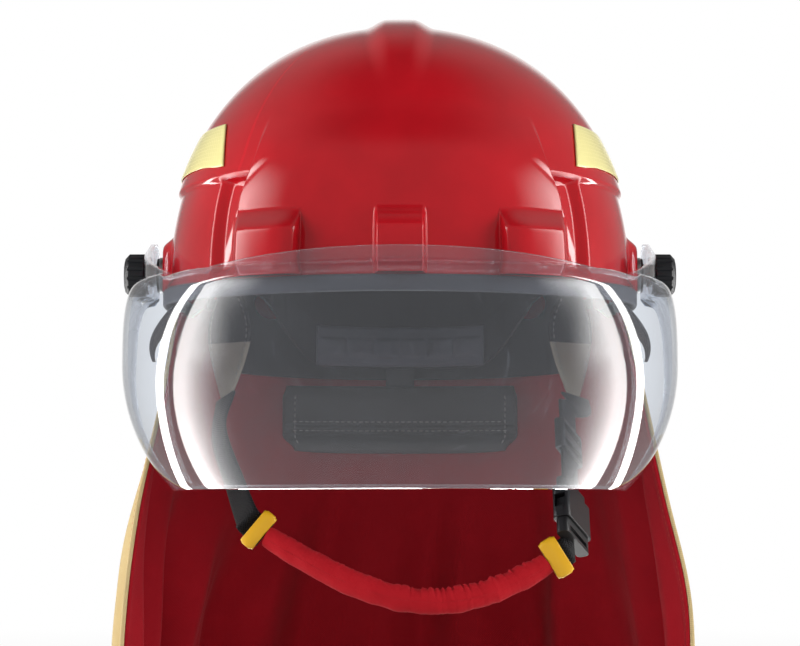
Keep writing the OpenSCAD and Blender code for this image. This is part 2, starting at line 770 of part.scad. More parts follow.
module visor_sheet() {
    difference() {
        intersection() {
            difference() {
                bowl_solid(0);
                bowl_solid(visor_t);
            }
            translate([-bowl_r - 10, 0, 0])
                rotate([90, 0, 90])
                    linear_extrude(2 * bowl_r + 20)
                        visor_outline();
        }
        translate([-bowl_r - 10, 0, axis_h])
            rotate([0, 90, 0])
                cylinder(d = shoulder_d + 2 * turn_gap, h = 2 * bowl_r + 20);
    }
}
// The sheet is one moulding. Its arms are nodes of their own, so that their
// collision follows the flats beside the knobs.
module beside_knobs() {
    translate([0, -side_step, -visor_bottom - 10])
        cube([bowl_r + 10, visor_back + side_step, visor_bottom + bowl_high + 10]);
}
module visor() {
    color("lightblue", 0.5)
        difference() {
            visor_sheet();
            beside_knobs();
            mirror([1, 0, 0]) beside_knobs();
        }
}
module visor_arm() {
    color("lightblue", 0.5)
        intersection() {
            visor_sheet();
            beside_knobs();
        }
}

module pivot_stud() {
    color("silver")
        translate([boss_x, 0, axis_h])
            rotate([0, 90, 0])
                union() {
                    cylinder(d = flange_d, h = stud_face - washer_t - boss_x);
                    cylinder(d = shoulder_d, h = arm_half - boss_x);
                    cylinder(d = stud_d, h = knob_face + knob_l - 4 - boss_x);
                }
}

module friction_washer() {
    color("black")
        translate([stud_face - washer_t, 0, axis_h])
            rotate([0, 90, 0])
                difference() {
                    cylinder(d = flange_d - 1, h = washer_t);
                    translate([0, 0, -1])
                        cylinder(d = shoulder_d + 2 * turn_gap, h = washer_t + 2);
                }
}

module knob() {
    flutes = 14;
    color("black")
        translate([knob_face, 0, axis_h])
            rotate([0, 90, 0])
                difference() {
                    rotate_extrude($fn = 72)
                        polygon([
                            [0, 0], [knob_d / 2 - 1.6, 0], [knob_d / 2 - 1.6, 2.4], [knob_d / 2, 3.2],
                            [knob_d / 2, knob_l - 2.6], [knob_d / 2 - 2.4, knob_l - 0.4],
                            [knob_d / 2 - 4, knob_l], [0, knob_l]
                        ]);
                    for (i = [0:flutes - 1])
                        rotate([0, 0, i * 360 / flutes])
                            translate([knob_d / 2 + 0.5, 0, 3])
                                cylinder(d = 2.6, h = knob_l, $fn = 24);
                    translate([0, 0, -1])
                        cylinder(d = stud_d + 2 * turn_gap, h = knob_l - 3.6 + 1);
                }
}

// An ear flap hangs from the trim and flares outward to a point.
module ear_flap() {
    vs = [for (i = [0:6]) i / 6];
    us = [for (i = [0:8]) i / 8];
    function flap_turn(u, v) = mix(mix(73, 82, v), mix(103, 88, v), u);
    function flap_z(u, v) = mix(side_rise - trim_h - 0.8, -flap_low, v);
    function flap_at(u, v, d) =
        let (th = flap_turn(u, v), p = dome(th, 0), flare = 1 + 0.085 * sin(120 * v))
        [(p.x - d * sin(th)) * flare - 2.5 * sign(p.x), p.y * flare, flap_z(u, v)];
    color("darkslategray")
        slab(
            [for (v = vs) [for (u = us) flap_at(u, v, 0)]],
            [for (v = vs) [for (u = us) flap_at(u, v, 1.5 + 2.5 * sin(180 * u) * sin(150 * v + 30))]]
        );
}

// The yoke hangs from the carrier, twists to face forward and narrows to a tip.
yoke_t = 2.4;
yoke_rows = [
    [[89.6, 29, carrier_z], [-0.1, 1, 0], 30],
    [[91.6, 21.5, 12], [0.3, 0.95, 0], 26],
    [[90.5, 15, -12], [0.72, 0.69, 0], 32],
    [[91, 12, -30], [0.75, 0.66, 0], 26],
    [[92, 9, -52], [0.75, 0.66, 0], 7]
];
yoke_tip = yoke_rows[4][0];
module strap_yoke() {
    function yoke_at(r, u, d) = let (way = unit(r[1]))
        r[0] + (u - 0.5) * r[2] * way + d * [-way.y, way.x, 0];
    color("wheat")
        slab(
            [for (r = yoke_rows) [for (u = [0, 0.5, 1]) yoke_at(r, u, -yoke_t / 2)]],
            [for (r = yoke_rows) [for (u = [0, 0.5, 1]) yoke_at(r, u, yoke_t / 2)]]
        );
}

rivet_d = 7;
rivet_apart = 18;
module yoke_rivets() {
    color("silver")
        for (s = [-1, 1], dy = [-rivet_apart / 2, rivet_apart / 2])
            translate([s * (yoke_rows[0][0].x - 0.1 * dy), yoke_rows[0][0].y + dy, liner_z])
                cylinder(d = rivet_d, h = 1.6);
}

// A ribbon of webbing along a few points, each with the direction of its width.
module ribbon(pts, ways, w, t) {
    n = len(pts);
    function along(i) = unit(pts[min(n - 1, i + 1)] - pts[max(0, i - 1)]);
    function face(i) = unit(cross(along(i), ways[i]));
    slab(
        [for (i = [0:n - 1]) [for (e = [-0.5, 0.5]) pts[i] + e * w * unit(ways[i]) + t / 2 * face(i)]],
        [for (i = [0:n - 1]) [for (e = [-0.5, 0.5]) pts[i] + e * w * unit(ways[i]) - t / 2 * face(i)]]
    );
}

// The strap's frame: local Z runs up along the webbing and local X across it.
buckle_at = [86, -62.4, -121.6];
module on_strap(at) {
    translate(at)
        rotate([-strap_lean, 0, 0])
            rotate([0, 0, strap_turn])
                children();
}
strap_up = [0, sin(strap_lean), cos(strap_lean)];
strap_across = [
    cos(strap_turn), sin(strap_turn) * cos(strap_lean), -sin(strap_turn) * sin(strap_lean)
];
slider_at = buckle_at + strap_up * 51;
web_bend = buckle_at + strap_up * 69;

module webbing_right() {
    color("black")
        ribbon(
            [
                yoke_tip + [0.4, -2.2, 0.5], mix(yoke_tip, web_bend, 0.5) + [4, -1, -1],
                web_bend, buckle_at + strap_up * (buckle_l - 4)
            ],
            [[0.75, 0.6, -0.2], [0.6, 0.6, -0.35], strap_across, strap_across], web_w, web_t
        );
}

module strap_slider() {
    color("black")
        on_strap(slider_at)
            difference() {
                rounded_box([web_w + 6, 5.4, 17], 2);
                cube([web_w + 1.2, web_t + 2 * slide_gap, 30], center = true);
                for (s = [-1, 1])
                    translate([0, -3, s * 4.4])
                        cube([web_w + 1.2, 5, 4.4], center = true);
            }
}

// The buckle's socket is open below, with a window on each side for the prongs.
socket_w = buckle_w - 5;
socket_t = buckle_t - 3.4;
socket_l = 15;
module buckle_body() {
    main_l = buckle_l - 6;
    color("black")
        on_strap(buckle_at)
            difference() {
                union() {
                    translate([0, 0, 0.5 + main_l / 2])
                        rounded_box([buckle_w, buckle_t, main_l], 3);
                    translate([0, 0, buckle_l - 4])
                        rounded_box([web_w + 7, 5.4, 9], 2);
                }
                translate([0, 0, socket_l / 2])
                    cube([socket_w, socket_t, socket_l + 1], center = true);
                translate([0, 0, buckle_l])
                    cube([web_w + 1.2, web_t + 2 * slide_gap, 14], center = true);
                for (s = [-1, 1])
                    translate([s * buckle_w / 2, 0, socket_l - 5])
                        cube([7, socket_t, 7], center = true);
            }
}

module buckle_tongue() {
    base_w = buckle_w - 2;
    prong_t = socket_t - 2 * slide_gap;
    prong_l = socket_l - 2;
    barb_x = socket_w / 2 - slide_gap;
    color("black")
        on_strap(buckle_at)
            difference() {
                union() {
                    translate([0, 0, -3.8])
                        rounded_box([base_w, 6.4, 8], 2.4);
                    translate([-3, -prong_t / 2, -1])
                        cube([6, prong_t, prong_l + 1]);
                    for (s = [0, 1])
                        mirror([s, 0, 0]) {
                            translate([barb_x - 4.6, -prong_t / 2, -1])
                                cube([3, prong_t, prong_l - 2]);
                            translate([barb_x - 4, -prong_t / 2, prong_l - 6])
                                cube([4, prong_t, 5.4]);
                        }
                }
                translate([0, 0, -4.6])
                    cube([web_w + 1, 12, 2.6], center = true);
            }
}

// Points along the chin sleeve's centre line, from the left loop to the right one.
sleeve_ends = [[-66, -67, -125], [72.6, -71.5, -138]];
function sleeve_at(u) = [
    mix(sleeve_ends[0].x, sleeve_ends[1].x, u),
    mix(sleeve_ends[0].y, sleeve_ends[1].y, u) - 16 * sin(180 * u),
    mix(sleeve_ends[0].z, sleeve_ends[1].z, u) - 24 * pow(sin(180 * pow(u, 1.12)), 0.9)
];
module chin_sleeve() {
    rings = 40;
    sides = 12;
    function way(u) = unit(sleeve_at(min(1, u + 0.02)) - sleeve_at(max(0, u - 0.02)));
    function puff(u) =
        (0.82 + 0.18 * pow(sin(180 * u), 0.5))
        * (1 + 0.07 * sin(360 * sleeve_gathers * u) * ease(0.2, 0.5, u));
    function ring(u) =
        let (p = sleeve_at(u), d = way(u), side = unit(cross(d, [0, 0, 1])), up = cross(side, d))
        [for (i = [0:sides - 1]) let (w = 360 * i / sides)
            p + side * cos(w) * sleeve_t / 2 * puff(u) + up * sin(w) * sleeve_h / 2 * puff(u)];
    color("firebrick")
        loft(
            [for (i = [0:rings]) ring(i / rings)],
            sleeve_at(0), sleeve_at(1)
        );
}

// A loop of stiff yellow rubber round the webbing at each end of the sleeve.
module end_loop(at, tilt, w, deep, len) {
    color("gold")
        translate(at)
            rotate([0, tilt, 0])
                rotate([0, 90, 0])
                    difference() {
                        rounded_box([w, deep, len], 3);
                        rounded_box([w - 3.6, deep - 3.6, len + 1], 1.5);
                    }
}
tilt_left = 40;
tilt_right = -32;
function loop_way(tilt) = [cos(tilt), 0, -sin(tilt)];
function loop_across(tilt) = [sin(tilt), 0, cos(tilt)];
loop_seat = 1.1;
loop_left_at = sleeve_ends[0] - (loop_l / 2 + loop_seat) * loop_way(tilt_left);
loop_right_at = sleeve_ends[1] + (loop_l / 2 + loop_seat) * loop_way(tilt_right);
end_web_w = web_w - 6;
loop_w = end_web_w + 6;
loop_deep = 8;
module loop_left() {
    end_loop(loop_left_at, tilt_left, loop_w, loop_deep, loop_l - 1.5);
}
module loop_right() {
    end_loop(loop_right_at, tilt_right, loop_w, loop_deep, loop_l);
}

module webbing_left() {
    tip = flipx(yoke_tip);
    on_axis = loop_way(tilt_left);
    across = loop_across(tilt_left);
    color("black")
        ribbon(
            [
                tip + [0, -2.2, 0.5], tip + [-2, -22, -20], tip + [8, -50, -46],
                loop_left_at - 9 * on_axis + [0.4, 1, 1.6], loop_left_at - 5 * on_axis,
                loop_left_at + 4.2 * on_axis
            ],
            [
                [0.6, -0.6, 0.2], [0.55, -0.75, 0.5], [0.55, -0.55, 0.6],
                [0.6, -0.2, 0.75], across, across
            ],
            end_web_w, web_t
        );
}

module chin_webbing() {
    on_axis = loop_way(tilt_right);
    across = loop_across(tilt_right);
    top = buckle_at - strap_up * 8.8;
    bend = loop_right_at + (loop_l / 2 + 1.4) * on_axis;
    color("black")
        ribbon(
            [
                top, mix(top, bend, 0.5), bend, loop_right_at + loop_l / 2 * on_axis,
                loop_right_at - loop_l / 2 * on_axis
            ],
            [-strap_across, mix(-strap_across, across, 0.45), across, across, across],
            end_web_w, web_t
        );
}

// The curtain hangs inside the back of the shell and flares in folds to its hem,
// where its front edges curl in again beside the jaw.
curtain_from = 88;
band_seat = shell_t + 0.8;
band_tape = 1.5;
hem_from = 62;
hem_mid = 30;
hem_curl = 62;
hem_back = 138;
function ear_side(th) = 1 - ease(102, 116, 180 - abs(180 - th));
function curtain_top(th) = rim(th) + 2.5 - (trim_h + 4) * ear_side(th);
function curtain_at(s, t, inward) =
    let (
        th = mix(curtain_from, 360 - curtain_from, s),
        w = mix(hem_from, 360 - hem_from, s),
        z = mix(curtain_top(th), -hem_low, t),
        free_z = rim(th) - trim_h - 1,
        fall = pow(max(0, (free_z - z) / (free_z + hem_low)), 0.75),
        top = inside(th, rim(th), band_seat + band_tape + curtain_gap),
        hem = [
            hem_half * spow(sin(w), 0.9),
            hem_mid - (cos(w) > 0 ? hem_curl : hem_back) * spow(cos(w), 0.9)
        ],
        wave = fold_d * ease(0.05, 0.9, t) * cos(360 * folds * s),
        dir = unit([sin(w), -cos(w)]),
        xy = mix([top.x, top.y], hem, fall) + (wave - inward) * dir
    )
    [xy.x, xy.y, z];
module neck_curtain() {
    turns = folds * 8;
    levels = [0, 0.06, 0.14, 0.28, 0.46, 0.7, 1];
    color("khaki")
        slab(
            [for (t = levels) [for (j = [0:turns]) curtain_at(j / turns, t, 0)]],
            [for (t = levels) [for (j = [0:turns]) curtain_at(j / turns, t, cloth_t)]]
        );
}

module curtain_band() {
    turns = [for (i = [0:30]) mix(117, 243, i / 30)];
    function band_at(th, d, dz) = inside(th, rim(th) + dz, d);
    color("black")
        slab(
            [for (dz = [1, 13]) [for (th = turns) band_at(th, band_seat, dz)]],
            [for (dz = [1, 13]) [for (th = turns) band_at(th, band_seat + band_tape, dz)]]
        );
}

shell();
edge_trim();
reflective_strip();  // reflective_strip_right
mirror([1, 0, 0]) reflective_strip();  // reflective_strip_left
impact_liner();
liner_carrier();
carrier_brackets();
headband();
brow_pad();
crown_strap(0);  // crown_strap_1
crown_strap(1);  // crown_strap_2
crown_strap(2);  // crown_strap_3
crown_pad();
strap_clips();
rear_cradle();
nape_frame();
quilted_pad();
nape_pad();
ratchet_housing();
ratchet_cover();
ratchet_pinion();
ratchet_knob();
visor();
visor_arm();  // visor_arm_right
mirror([1, 0, 0]) visor_arm();  // visor_arm_left
pivot_stud();  // pivot_stud_right
mirror([1, 0, 0]) pivot_stud();  // pivot_stud_left
friction_washer();  // friction_washer_right
mirror([1, 0, 0]) friction_washer();  // friction_washer_left
knob();  // knob_right
mirror([1, 0, 0]) knob();  // knob_left
ear_flap();  // ear_flap_right
mirror([1, 0, 0]) ear_flap();  // ear_flap_left
strap_yoke();  // strap_yoke_right
mirror([1, 0, 0]) strap_yoke();  // strap_yoke_left
yoke_rivets();
webbing_left();
webbing_right();
strap_slider();
buckle_body();
buckle_tongue();
chin_webbing();
chin_sleeve();
loop_left();
loop_right();
neck_curtain();
curtain_band();
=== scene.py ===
import math

import bpy
import numpy as np
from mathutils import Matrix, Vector


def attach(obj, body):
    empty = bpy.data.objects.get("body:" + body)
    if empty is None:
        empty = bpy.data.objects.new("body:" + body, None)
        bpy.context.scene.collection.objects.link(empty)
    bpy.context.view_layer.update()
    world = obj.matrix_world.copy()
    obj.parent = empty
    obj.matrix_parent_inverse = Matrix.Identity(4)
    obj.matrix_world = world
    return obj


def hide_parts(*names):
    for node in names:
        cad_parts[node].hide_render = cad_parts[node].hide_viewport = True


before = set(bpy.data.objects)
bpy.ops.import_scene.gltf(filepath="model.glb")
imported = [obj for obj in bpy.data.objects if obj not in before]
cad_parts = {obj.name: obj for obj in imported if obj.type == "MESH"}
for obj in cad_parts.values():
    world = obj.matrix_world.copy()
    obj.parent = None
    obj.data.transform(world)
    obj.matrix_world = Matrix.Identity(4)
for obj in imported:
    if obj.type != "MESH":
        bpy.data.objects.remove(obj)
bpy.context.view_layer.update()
mm = 0.001
print("frame loaded:", len(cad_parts), "nodes")


# Numbers and curves

def clamp01(v):
    return np.clip(v, 0.0, 1.0)


def ease(lo, hi, v):
    t = clamp01((np.asarray(v, float) - lo) / (hi - lo))
    return t * t * (3 - 2 * t)


def easeRound(middle, soft, v):
    return ease(middle - soft, middle + soft, v)


def mix(a, b, t):
    return a + (b - a) * t


def dip(v, wide):
    return np.exp(-(v / wide) ** 2)


def fromNearest(v, pitch):
    # How far v lies from the nearest multiple of the pitch.
    return (v + pitch / 2) % pitch - pitch / 2


def signedPower(v, e):
    return np.sign(v) * np.abs(v) ** e


def sinDeg(v):
    return np.sin(np.radians(v))


def cosDeg(v):
    return np.cos(np.radians(v))


def unit(v):
    v = np.asarray(v, float)
    return v / np.maximum(np.linalg.norm(v, axis=-1, keepdims=True), 1e-9)


def stack(x, y, z):
    return np.stack(np.broadcast_arrays(x, y, z), axis=-1).astype(float)


def lengthsOn(line):
    return np.concatenate([[0], np.cumsum(np.linalg.norm(np.diff(line, axis=0), axis=1))])


def readOff(values, along, want):
    return np.stack([np.interp(want, along, values[:, k]) for k in range(values.shape[1])], axis=1)


def smoothPath(points, count):
    # A smooth curve through the points, evenly spaced along its length. Columns after the third ride along.
    p = np.asarray(points, float)
    ends = np.vstack([2 * p[0] - p[1], p, 2 * p[-1] - p[-2]])
    fine = []
    for i in range(1, len(ends) - 2):
        a, b, c, d = ends[i - 1:i + 3]
        for t in np.linspace(0, 1, 24, endpoint=False):
            fine.append(0.5 * (2 * b + (c - a) * t + (2 * a - 5 * b + 4 * c - d) * t ** 2
                               + (3 * b - a - 3 * c + d) * t ** 3))
    fine = np.array(fine + [p[-1]])
    along = lengthsOn(fine[:, :3])
    return readOff(fine, along, np.linspace(0, along[-1], count))


class SoftNoise:
    # Smooth seeded noise on points in millimetres: a few waves in fixed directions.
    def __init__(self, seed, size, waves=14):
        r = np.random.RandomState(seed)
        self.k = unit(r.normal(size=(waves, 3))) * (2 * np.pi / size) * r.uniform(0.6, 1.6, (waves, 1))
        self.phase = r.uniform(0, 2 * np.pi, waves)

    def at(self, p):
        return np.sin(np.asarray(p) @ self.k.T + self.phase).sum(-1) / math.sqrt(len(self.phase))


# Meshes

def lengthsAlong(grid, axis):
    # Measured on the grid's middle column or row.
    return lengthsOn(grid[:, grid.shape[1] // 2] if axis == 0 else grid[grid.shape[0] // 2])


def makeMesh(name, verts, faces, uvs, slots=None):
    mesh = bpy.data.meshes.new(name)
    mesh.from_pydata((np.asarray(verts) * mm).tolist(), [], [tuple(f) for f in faces])
    layer = mesh.uv_layers.new(name="cut")
    corners = np.empty(len(mesh.loops), np.int64)
    mesh.loops.foreach_get("vertex_index", corners)
    layer.data.foreach_set("uv", np.asarray(uvs, np.float32)[corners].ravel())
    if slots is not None:
        mesh.polygons.foreach_set("material_index", np.asarray(slots, np.int32))
    mesh.polygons.foreach_set("use_smooth", np.ones(len(mesh.polygons), bool))
    mesh.validate()
    mesh.update()
    obj = bpy.data.objects.new(name, mesh)
    bpy.context.scene.collection.objects.link(obj)
    return obj


def quads(rows, cols, closed, start=0, flip=False):
    i, j = np.meshgrid(np.arange(rows - 1), np.arange(cols if closed else cols - 1), indexing="ij")
    k = (j + 1) % cols
    found = np.stack([i * cols + j, (i + 1) * cols + j, (i + 1) * cols + k, i * cols + k], -1)
    found = found.reshape(-1, 4) + start
    return found[:, ::-1] if flip else found


def slabMesh(name, outer, inner, edgeSlot=0, innerSlot=0):
    # A closed solid between two grids of points with rows first; UVs are lengths in metres.
    rows, cols = outer.shape[:2]
    n = rows * cols
    low = np.arange(cols - 1)
    high = n - cols + low
    left = np.arange(rows - 1) * cols
    right = left + cols - 1
    rims = [np.stack([low, low + 1, n + low + 1, n + low], -1),
            np.stack([high + 1, high, n + high, n + high + 1], -1),
            np.stack([left + cols, left, n + left, n + left + cols], -1),
            np.stack([right, right + cols, n + right + cols, n + right], -1)]
    faces = np.concatenate([quads(rows, cols, False), quads(rows, cols, False, n, True)] + rims)
    rimFrom = len(faces) - sum(len(r) for r in rims)
    slots = np.zeros(len(faces), np.int32)
    slots[rimFrom // 2:] = innerSlot
    slots[rimFrom:] = edgeSlot
    u, v = np.meshgrid(lengthsAlong(outer, 1) * mm, lengthsAlong(outer, 0) * mm)
    uvs = np.stack([u.ravel(), v.ravel()], -1)
    return makeMesh(name, np.concatenate([outer.reshape(-1, 3), inner.reshape(-1, 3)]), faces,
                    np.concatenate([uvs, uvs]), slots)


def mirroredSlab(name, outer, inner, mirrored):
    # The same slab with its faces turned the right way out after x changed its sign.
    return slabMesh(name, outer[:, ::-1], inner[:, ::-1]) if mirrored else slabMesh(name, outer, inner)


def tubeMesh(name, rings):
    # A tube through rings of points, closed at both ends; the ring's own points run round it.
    rows, cols = rings.shape[:2]
    verts = np.concatenate([rings.reshape(-1, 3), rings[0].mean(0)[None], rings[-1].mean(0)[None]])
    a, b = rows * cols, rows * cols + 1
    last = a - cols
    faces = [tuple(f) for f in quads(rows, cols, True)]
    faces += [(a, (j + 1) % cols, j) for j in range(cols)]
    faces += [(b, last + j, last + (j + 1) % cols) for j in range(cols)]
    around = np.arange(cols) * np.linalg.norm(rings[0, 0] - rings[0, 1])
    u, v = np.meshgrid(around * mm, lengthsAlong(rings, 0) * mm)
    uvs = np.concatenate([np.stack([u.ravel(), v.ravel()], -1), [[0, 0], [0, 0]]])
    return makeMesh(name, verts, faces, uvs)


def hoopMesh(name, rings):
    # Rings whose last one joins the first, such as a profile swept round the rim.
    rows, cols = rings.shape[:2]
    grid = np.concatenate([rings, rings[:1]])
    faces = quads(rows + 1, cols, True)
    u, v = np.meshgrid(np.linspace(0, 1, cols) * cols, lengthsAlong(grid, 0))
    uvs = np.stack([u.ravel(), v.ravel()], -1)[:rows * cols] * mm
    return makeMesh(name, rings.reshape(-1, 3), faces % (rows * cols), uvs)


def ribbonMesh(name, points, ways, width, thick, count, across, square=True):
    # Webbing along a smooth path; ways are the directions of its width at the points, turned square
    # to the path unless the strap bends edgewise, where square rows would swing past its corner.
    path = smoothPath(np.hstack([np.asarray(points, float), unit(ways)]), count)
    centre, way = path[:, :3], unit(path[:, 3:])
    along = unit(np.gradient(centre, axis=0))
    face = unit(np.cross(along, way))
    if square:
        way = np.cross(face, along)
    e = np.linspace(-1, 1, across)
    half = thick / 2 * (1 - 0.35 * np.abs(e) ** 8)  # thinner at its woven edges
    grid = centre[:, None] + way[:, None] * (e * width / 2)[None, :, None]
    lift = face[:, None] * half[None, :, None]
    return slabMesh(name, grid + lift, grid - lift)


threads = {
    "pad": {"pitch": 3.4, "length": 2.3, "thick": 0.6},
    "sleeve": {"pitch": 3.1, "length": 2.1, "thick": 0.5},
    "hem": {"pitch": 3.4, "length": 2.4, "thick": 0.55},
}
stitchShape = {"at": (-1, -0.75, 0, 0.75, 1), "girth": (0.25, 0.8, 1, 0.8, 0.25),
               "lift": (-0.35, 0, 0.25, 0, -0.35), "sides": 6}


def stitchMesh(name, path, out, thread):
    # A row of thread stitches lying on a path; out is the way off the cloth at each point.
    s, t = stitchShape, threads[thread]
    out = unit(np.broadcast_to(out, np.shape(path)))
    along = lengthsOn(path)
    want = np.arange(t["pitch"] / 2, along[-1] - t["pitch"] / 2, t["pitch"])
    at = readOff(path, along, want)
    way = unit(readOff(path, along, want + 0.5) - at)
    side = unit(np.cross(unit(readOff(out, along, want)), way))
    up = np.cross(way, side)
    turns = np.linspace(0, 2 * np.pi, s["sides"], endpoint=False)
    reach = np.array(s["at"]) * t["length"] / 2
    girth = (np.array(s["girth"]) * t["thick"] / 2)[:, None]
    lift = (np.array(s["lift"]) * t["thick"])[:, None]
    ring = (way[:, None, None] * reach[None, :, None, None]
            + side[:, None, None] * (girth * np.cos(turns))[None, :, :, None]
            + up[:, None, None] * (lift + girth * np.sin(turns))[None, :, :, None])
    verts = (at[:, None, None] + ring).reshape(-1, 3)
    first = (np.arange(len(at)) * len(reach) * s["sides"])[:, None, None]
    faces = (quads(len(reach), s["sides"], True)[None] + first).reshape(-1, 4)
    return makeMesh(name, verts, faces, np.zeros((len(verts), 2)))


def place(obj, body, material, stands=()):
    for m in material if isinstance(material, (list, tuple)) else [material]:
        obj.data.materials.append(m)
    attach(obj, body)
    if stands:
        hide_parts(*stands)
    return obj


# Materials: Python's operators on a wrapped socket add Math nodes.

class Wire:
    def __init__(self, tree, socket):
        self.tree = tree
        self.socket = socket

    def math(self, operation, *values):
        node = self.tree.nodes.new("ShaderNodeMath")
        node.operation = operation
        for target, value in zip(node.inputs, values):
            connect(self.tree, target, value)
        return Wire(self.tree, node.outputs[0])

    def __add__(self, other):
        return self.math("ADD", self, other)

    def __radd__(self, other):
        return self.math("ADD", other, self)

    def __sub__(self, other):
        return self.math("SUBTRACT", self, other)

    def __rsub__(self, other):
        return self.math("SUBTRACT", other, self)

    def __mul__(self, other):
        return self.math("MULTIPLY", self, other)

    def __rmul__(self, other):
        return self.math("MULTIPLY", other, self)

    def __truediv__(self, other):
        return self.math("DIVIDE", self, other)

    def __rtruediv__(self, other):
        return self.math("DIVIDE", other, self)

    def __pow__(self, other):
        return self.math("POWER", self, other)

    def __neg__(self):
        return self.math("MULTIPLY", self, -1.0)

    def __abs__(self):
        return self.math("ABSOLUTE", self)

    def __lt__(self, other):
        return self.math("LESS_THAN", self, other)

    def sin(self):
        return self.math("SINE", self)

    def clamped(self):
        return self.math("MINIMUM", self.math("MAXIMUM", self, 0.0), 1.0)


def connect(tree, target, value):
    if isinstance(value, Wire):
        tree.links.new(value.socket, target)
    else:
        target.default_value = value


def rise(v, lo, hi):
    # The same curve as ease, on a socket.
    t = ((v - lo) / (hi - lo)).clamped()
    return t * t * (3.0 - 2.0 * t)


def linear(r, g, b):
    # A screen colour, each part 0 to 255, in the shader's own units.
    def one(c):
        c /= 255
        return c / 12.92 if c <= 0.04045 else ((c + 0.055) / 1.055) ** 2.4
    return (one(r), one(g), one(b), 1.0)


def shade(colour, factor, lift=0.0):
    return tuple(min(1.0, c * factor + lift) for c in colour[:3]) + (1.0,)


class Nodes:
    def __init__(self, tree, kind):
        tree.nodes.clear()
        self.tree = tree
        self.output = tree.nodes.new("ShaderNodeOutput" + kind)

    def add(self, kind, settings=None, links=None, out=0):
        # Any node: its settings are set first, then the values or links of its sockets.
        node = self.tree.nodes.new("ShaderNode" + kind)
        for key, value in (settings or {}).items():
            setattr(node, key, value)
        for key, value in (links or {}).items():
            connect(self.tree, node.inputs[key], value)
        return Wire(self.tree, node.outputs[out])

    def split(self, vector):
        node = self.add("SeparateXYZ", links={"Vector": vector}).socket.node
        return [Wire(self.tree, socket) for socket in node.outputs]

    def show(self, surface):
        connect(self.tree, self.output.inputs["Surface"], surface)


class Finish(Nodes):
    def __init__(self, name, colour=(0.5, 0.5, 0.5, 1), roughness=0.5, **constants):
        self.material = bpy.data.materials.new(name)
        self.material.use_nodes = True
        self.material.diffuse_color = colour
        super().__init__(self.material.node_tree, "Material")
        values = {"Base Color": colour, "Roughness": roughness}
        values.update((key.replace("_", " "), value) for key, value in constants.items())
        self.body = self.add("BsdfPrincipled", links=values)
        self.where = self.add("TexCoord", out="Object")
        self.show(self.body)

    def put(self, socket, value):
        connect(self.tree, self.body.socket.node.inputs[socket], value)

    def cut(self):
        # The cloth's own directions, in metres.
        return self.split(self.add("UVMap", {"uv_map": "cut"}))[:2]

    def height(self):
        return self.split(self.where)[2]

    def noise(self, scale, detail=3.0, roughness=0.5, vector=None):
        return self.add("TexNoise", links={"Vector": vector or self.where, "Scale": scale,
                                           "Detail": detail, "Roughness": roughness})

    def streaks(self, scale, rotation, detail, roughness):
        # Noise drawn out along one direction, for scratches and brushing.
        drawn = self.add("Mapping", links={"Vector": self.where, "Scale": scale, "Rotation": rotation})
        return self.noise(1.0, detail, roughness, drawn)

    def blend(self, factor, a, b):
        return self.add("Mix", {"data_type": "RGBA"}, {0: factor, 6: a, 7: b}, out=2)

    def bump(self, height, distance, strength):
        return self.add("Bump", links={"Height": height, "Distance": distance * mm, "Strength": strength})


# A woven cloth: threads over and under at a pitch in millimetres, with fuzz and fading.
def wovenFinish(name, colour, pitch, roughness=0.85, depth=0.25, sheen=0.15, dark=0.62, wear=0.25):
    f = Finish(name, roughness=roughness, Sheen_Weight=sheen, Sheen_Roughness=0.45, Specular_IOR_Level=0.25)
    u, v = f.cut()
    turns = 2 * math.pi / (pitch * mm)
    over = (u * turns).sin() * (v * turns).sin()
    threadTone = (over * 0.5 + 0.5).clamped()
    patches = f.noise(38.0, 4.0, 0.6)
    fuzz = f.noise(900.0, 2.0)
    tone = f.blend(threadTone, shade(colour, dark), colour)
    worn = f.blend((patches - 0.45).clamped() * wear * 4, tone, shade(colour, 1.35))
    f.put("Base Color", f.blend((fuzz - 0.4).clamped() * 0.5, worn, shade(colour, 0.8)))
    f.put("Roughness", (fuzz * 0.2 + (roughness - 0.1)).clamped())
    f.put("Normal", f.bump(threadTone + fuzz * 0.35, depth, 0.8))
    return f.material


# Moulded plastic or rubber: fine grain, a few scuffs and lighter rubbed patches.
def mouldedFinish(name, colour, roughness, grain=0.04, scuff=0.25, coat=0.0):
    f = Finish(name, colour, roughness, Coat_Weight=coat, Coat_Roughness=0.15)
    grainy = f.noise(1500.0, 2.0)
    broad = f.noise(26.0, 4.0, 0.6)
    scratches = f.streaks((40.0, 260.0, 700.0), (0.4, 0.9, 0.2), 3.0, 0.7)
    marks = (scratches - 0.62).clamped() * 5 * (broad * 1.6 - 0.5).clamped()
    plain = f.blend((broad - 0.3).clamped(), shade(colour, 0.82), colour)
    f.put("Base Color", f.blend((marks * scuff).clamped(), plain, shade(colour, 1.7, 0.05)))
    f.put("Roughness", ((broad - 0.5) * 0.22 + marks * 0.25 + roughness).clamped())
    f.put("Normal", f.bump(grainy, grain, 0.6))
    return f.material


# Gloss paint on the moulded shell: a deep red with soft mottling, orange peel, hairlines and rubbed edges.
paint = {"red": linear(202, 18, 32), "deep": linear(156, 10, 21), "bright": linear(218, 34, 46),
         "specular": 0.04, "coatRoughness": 0.045, "peel": 0.012}


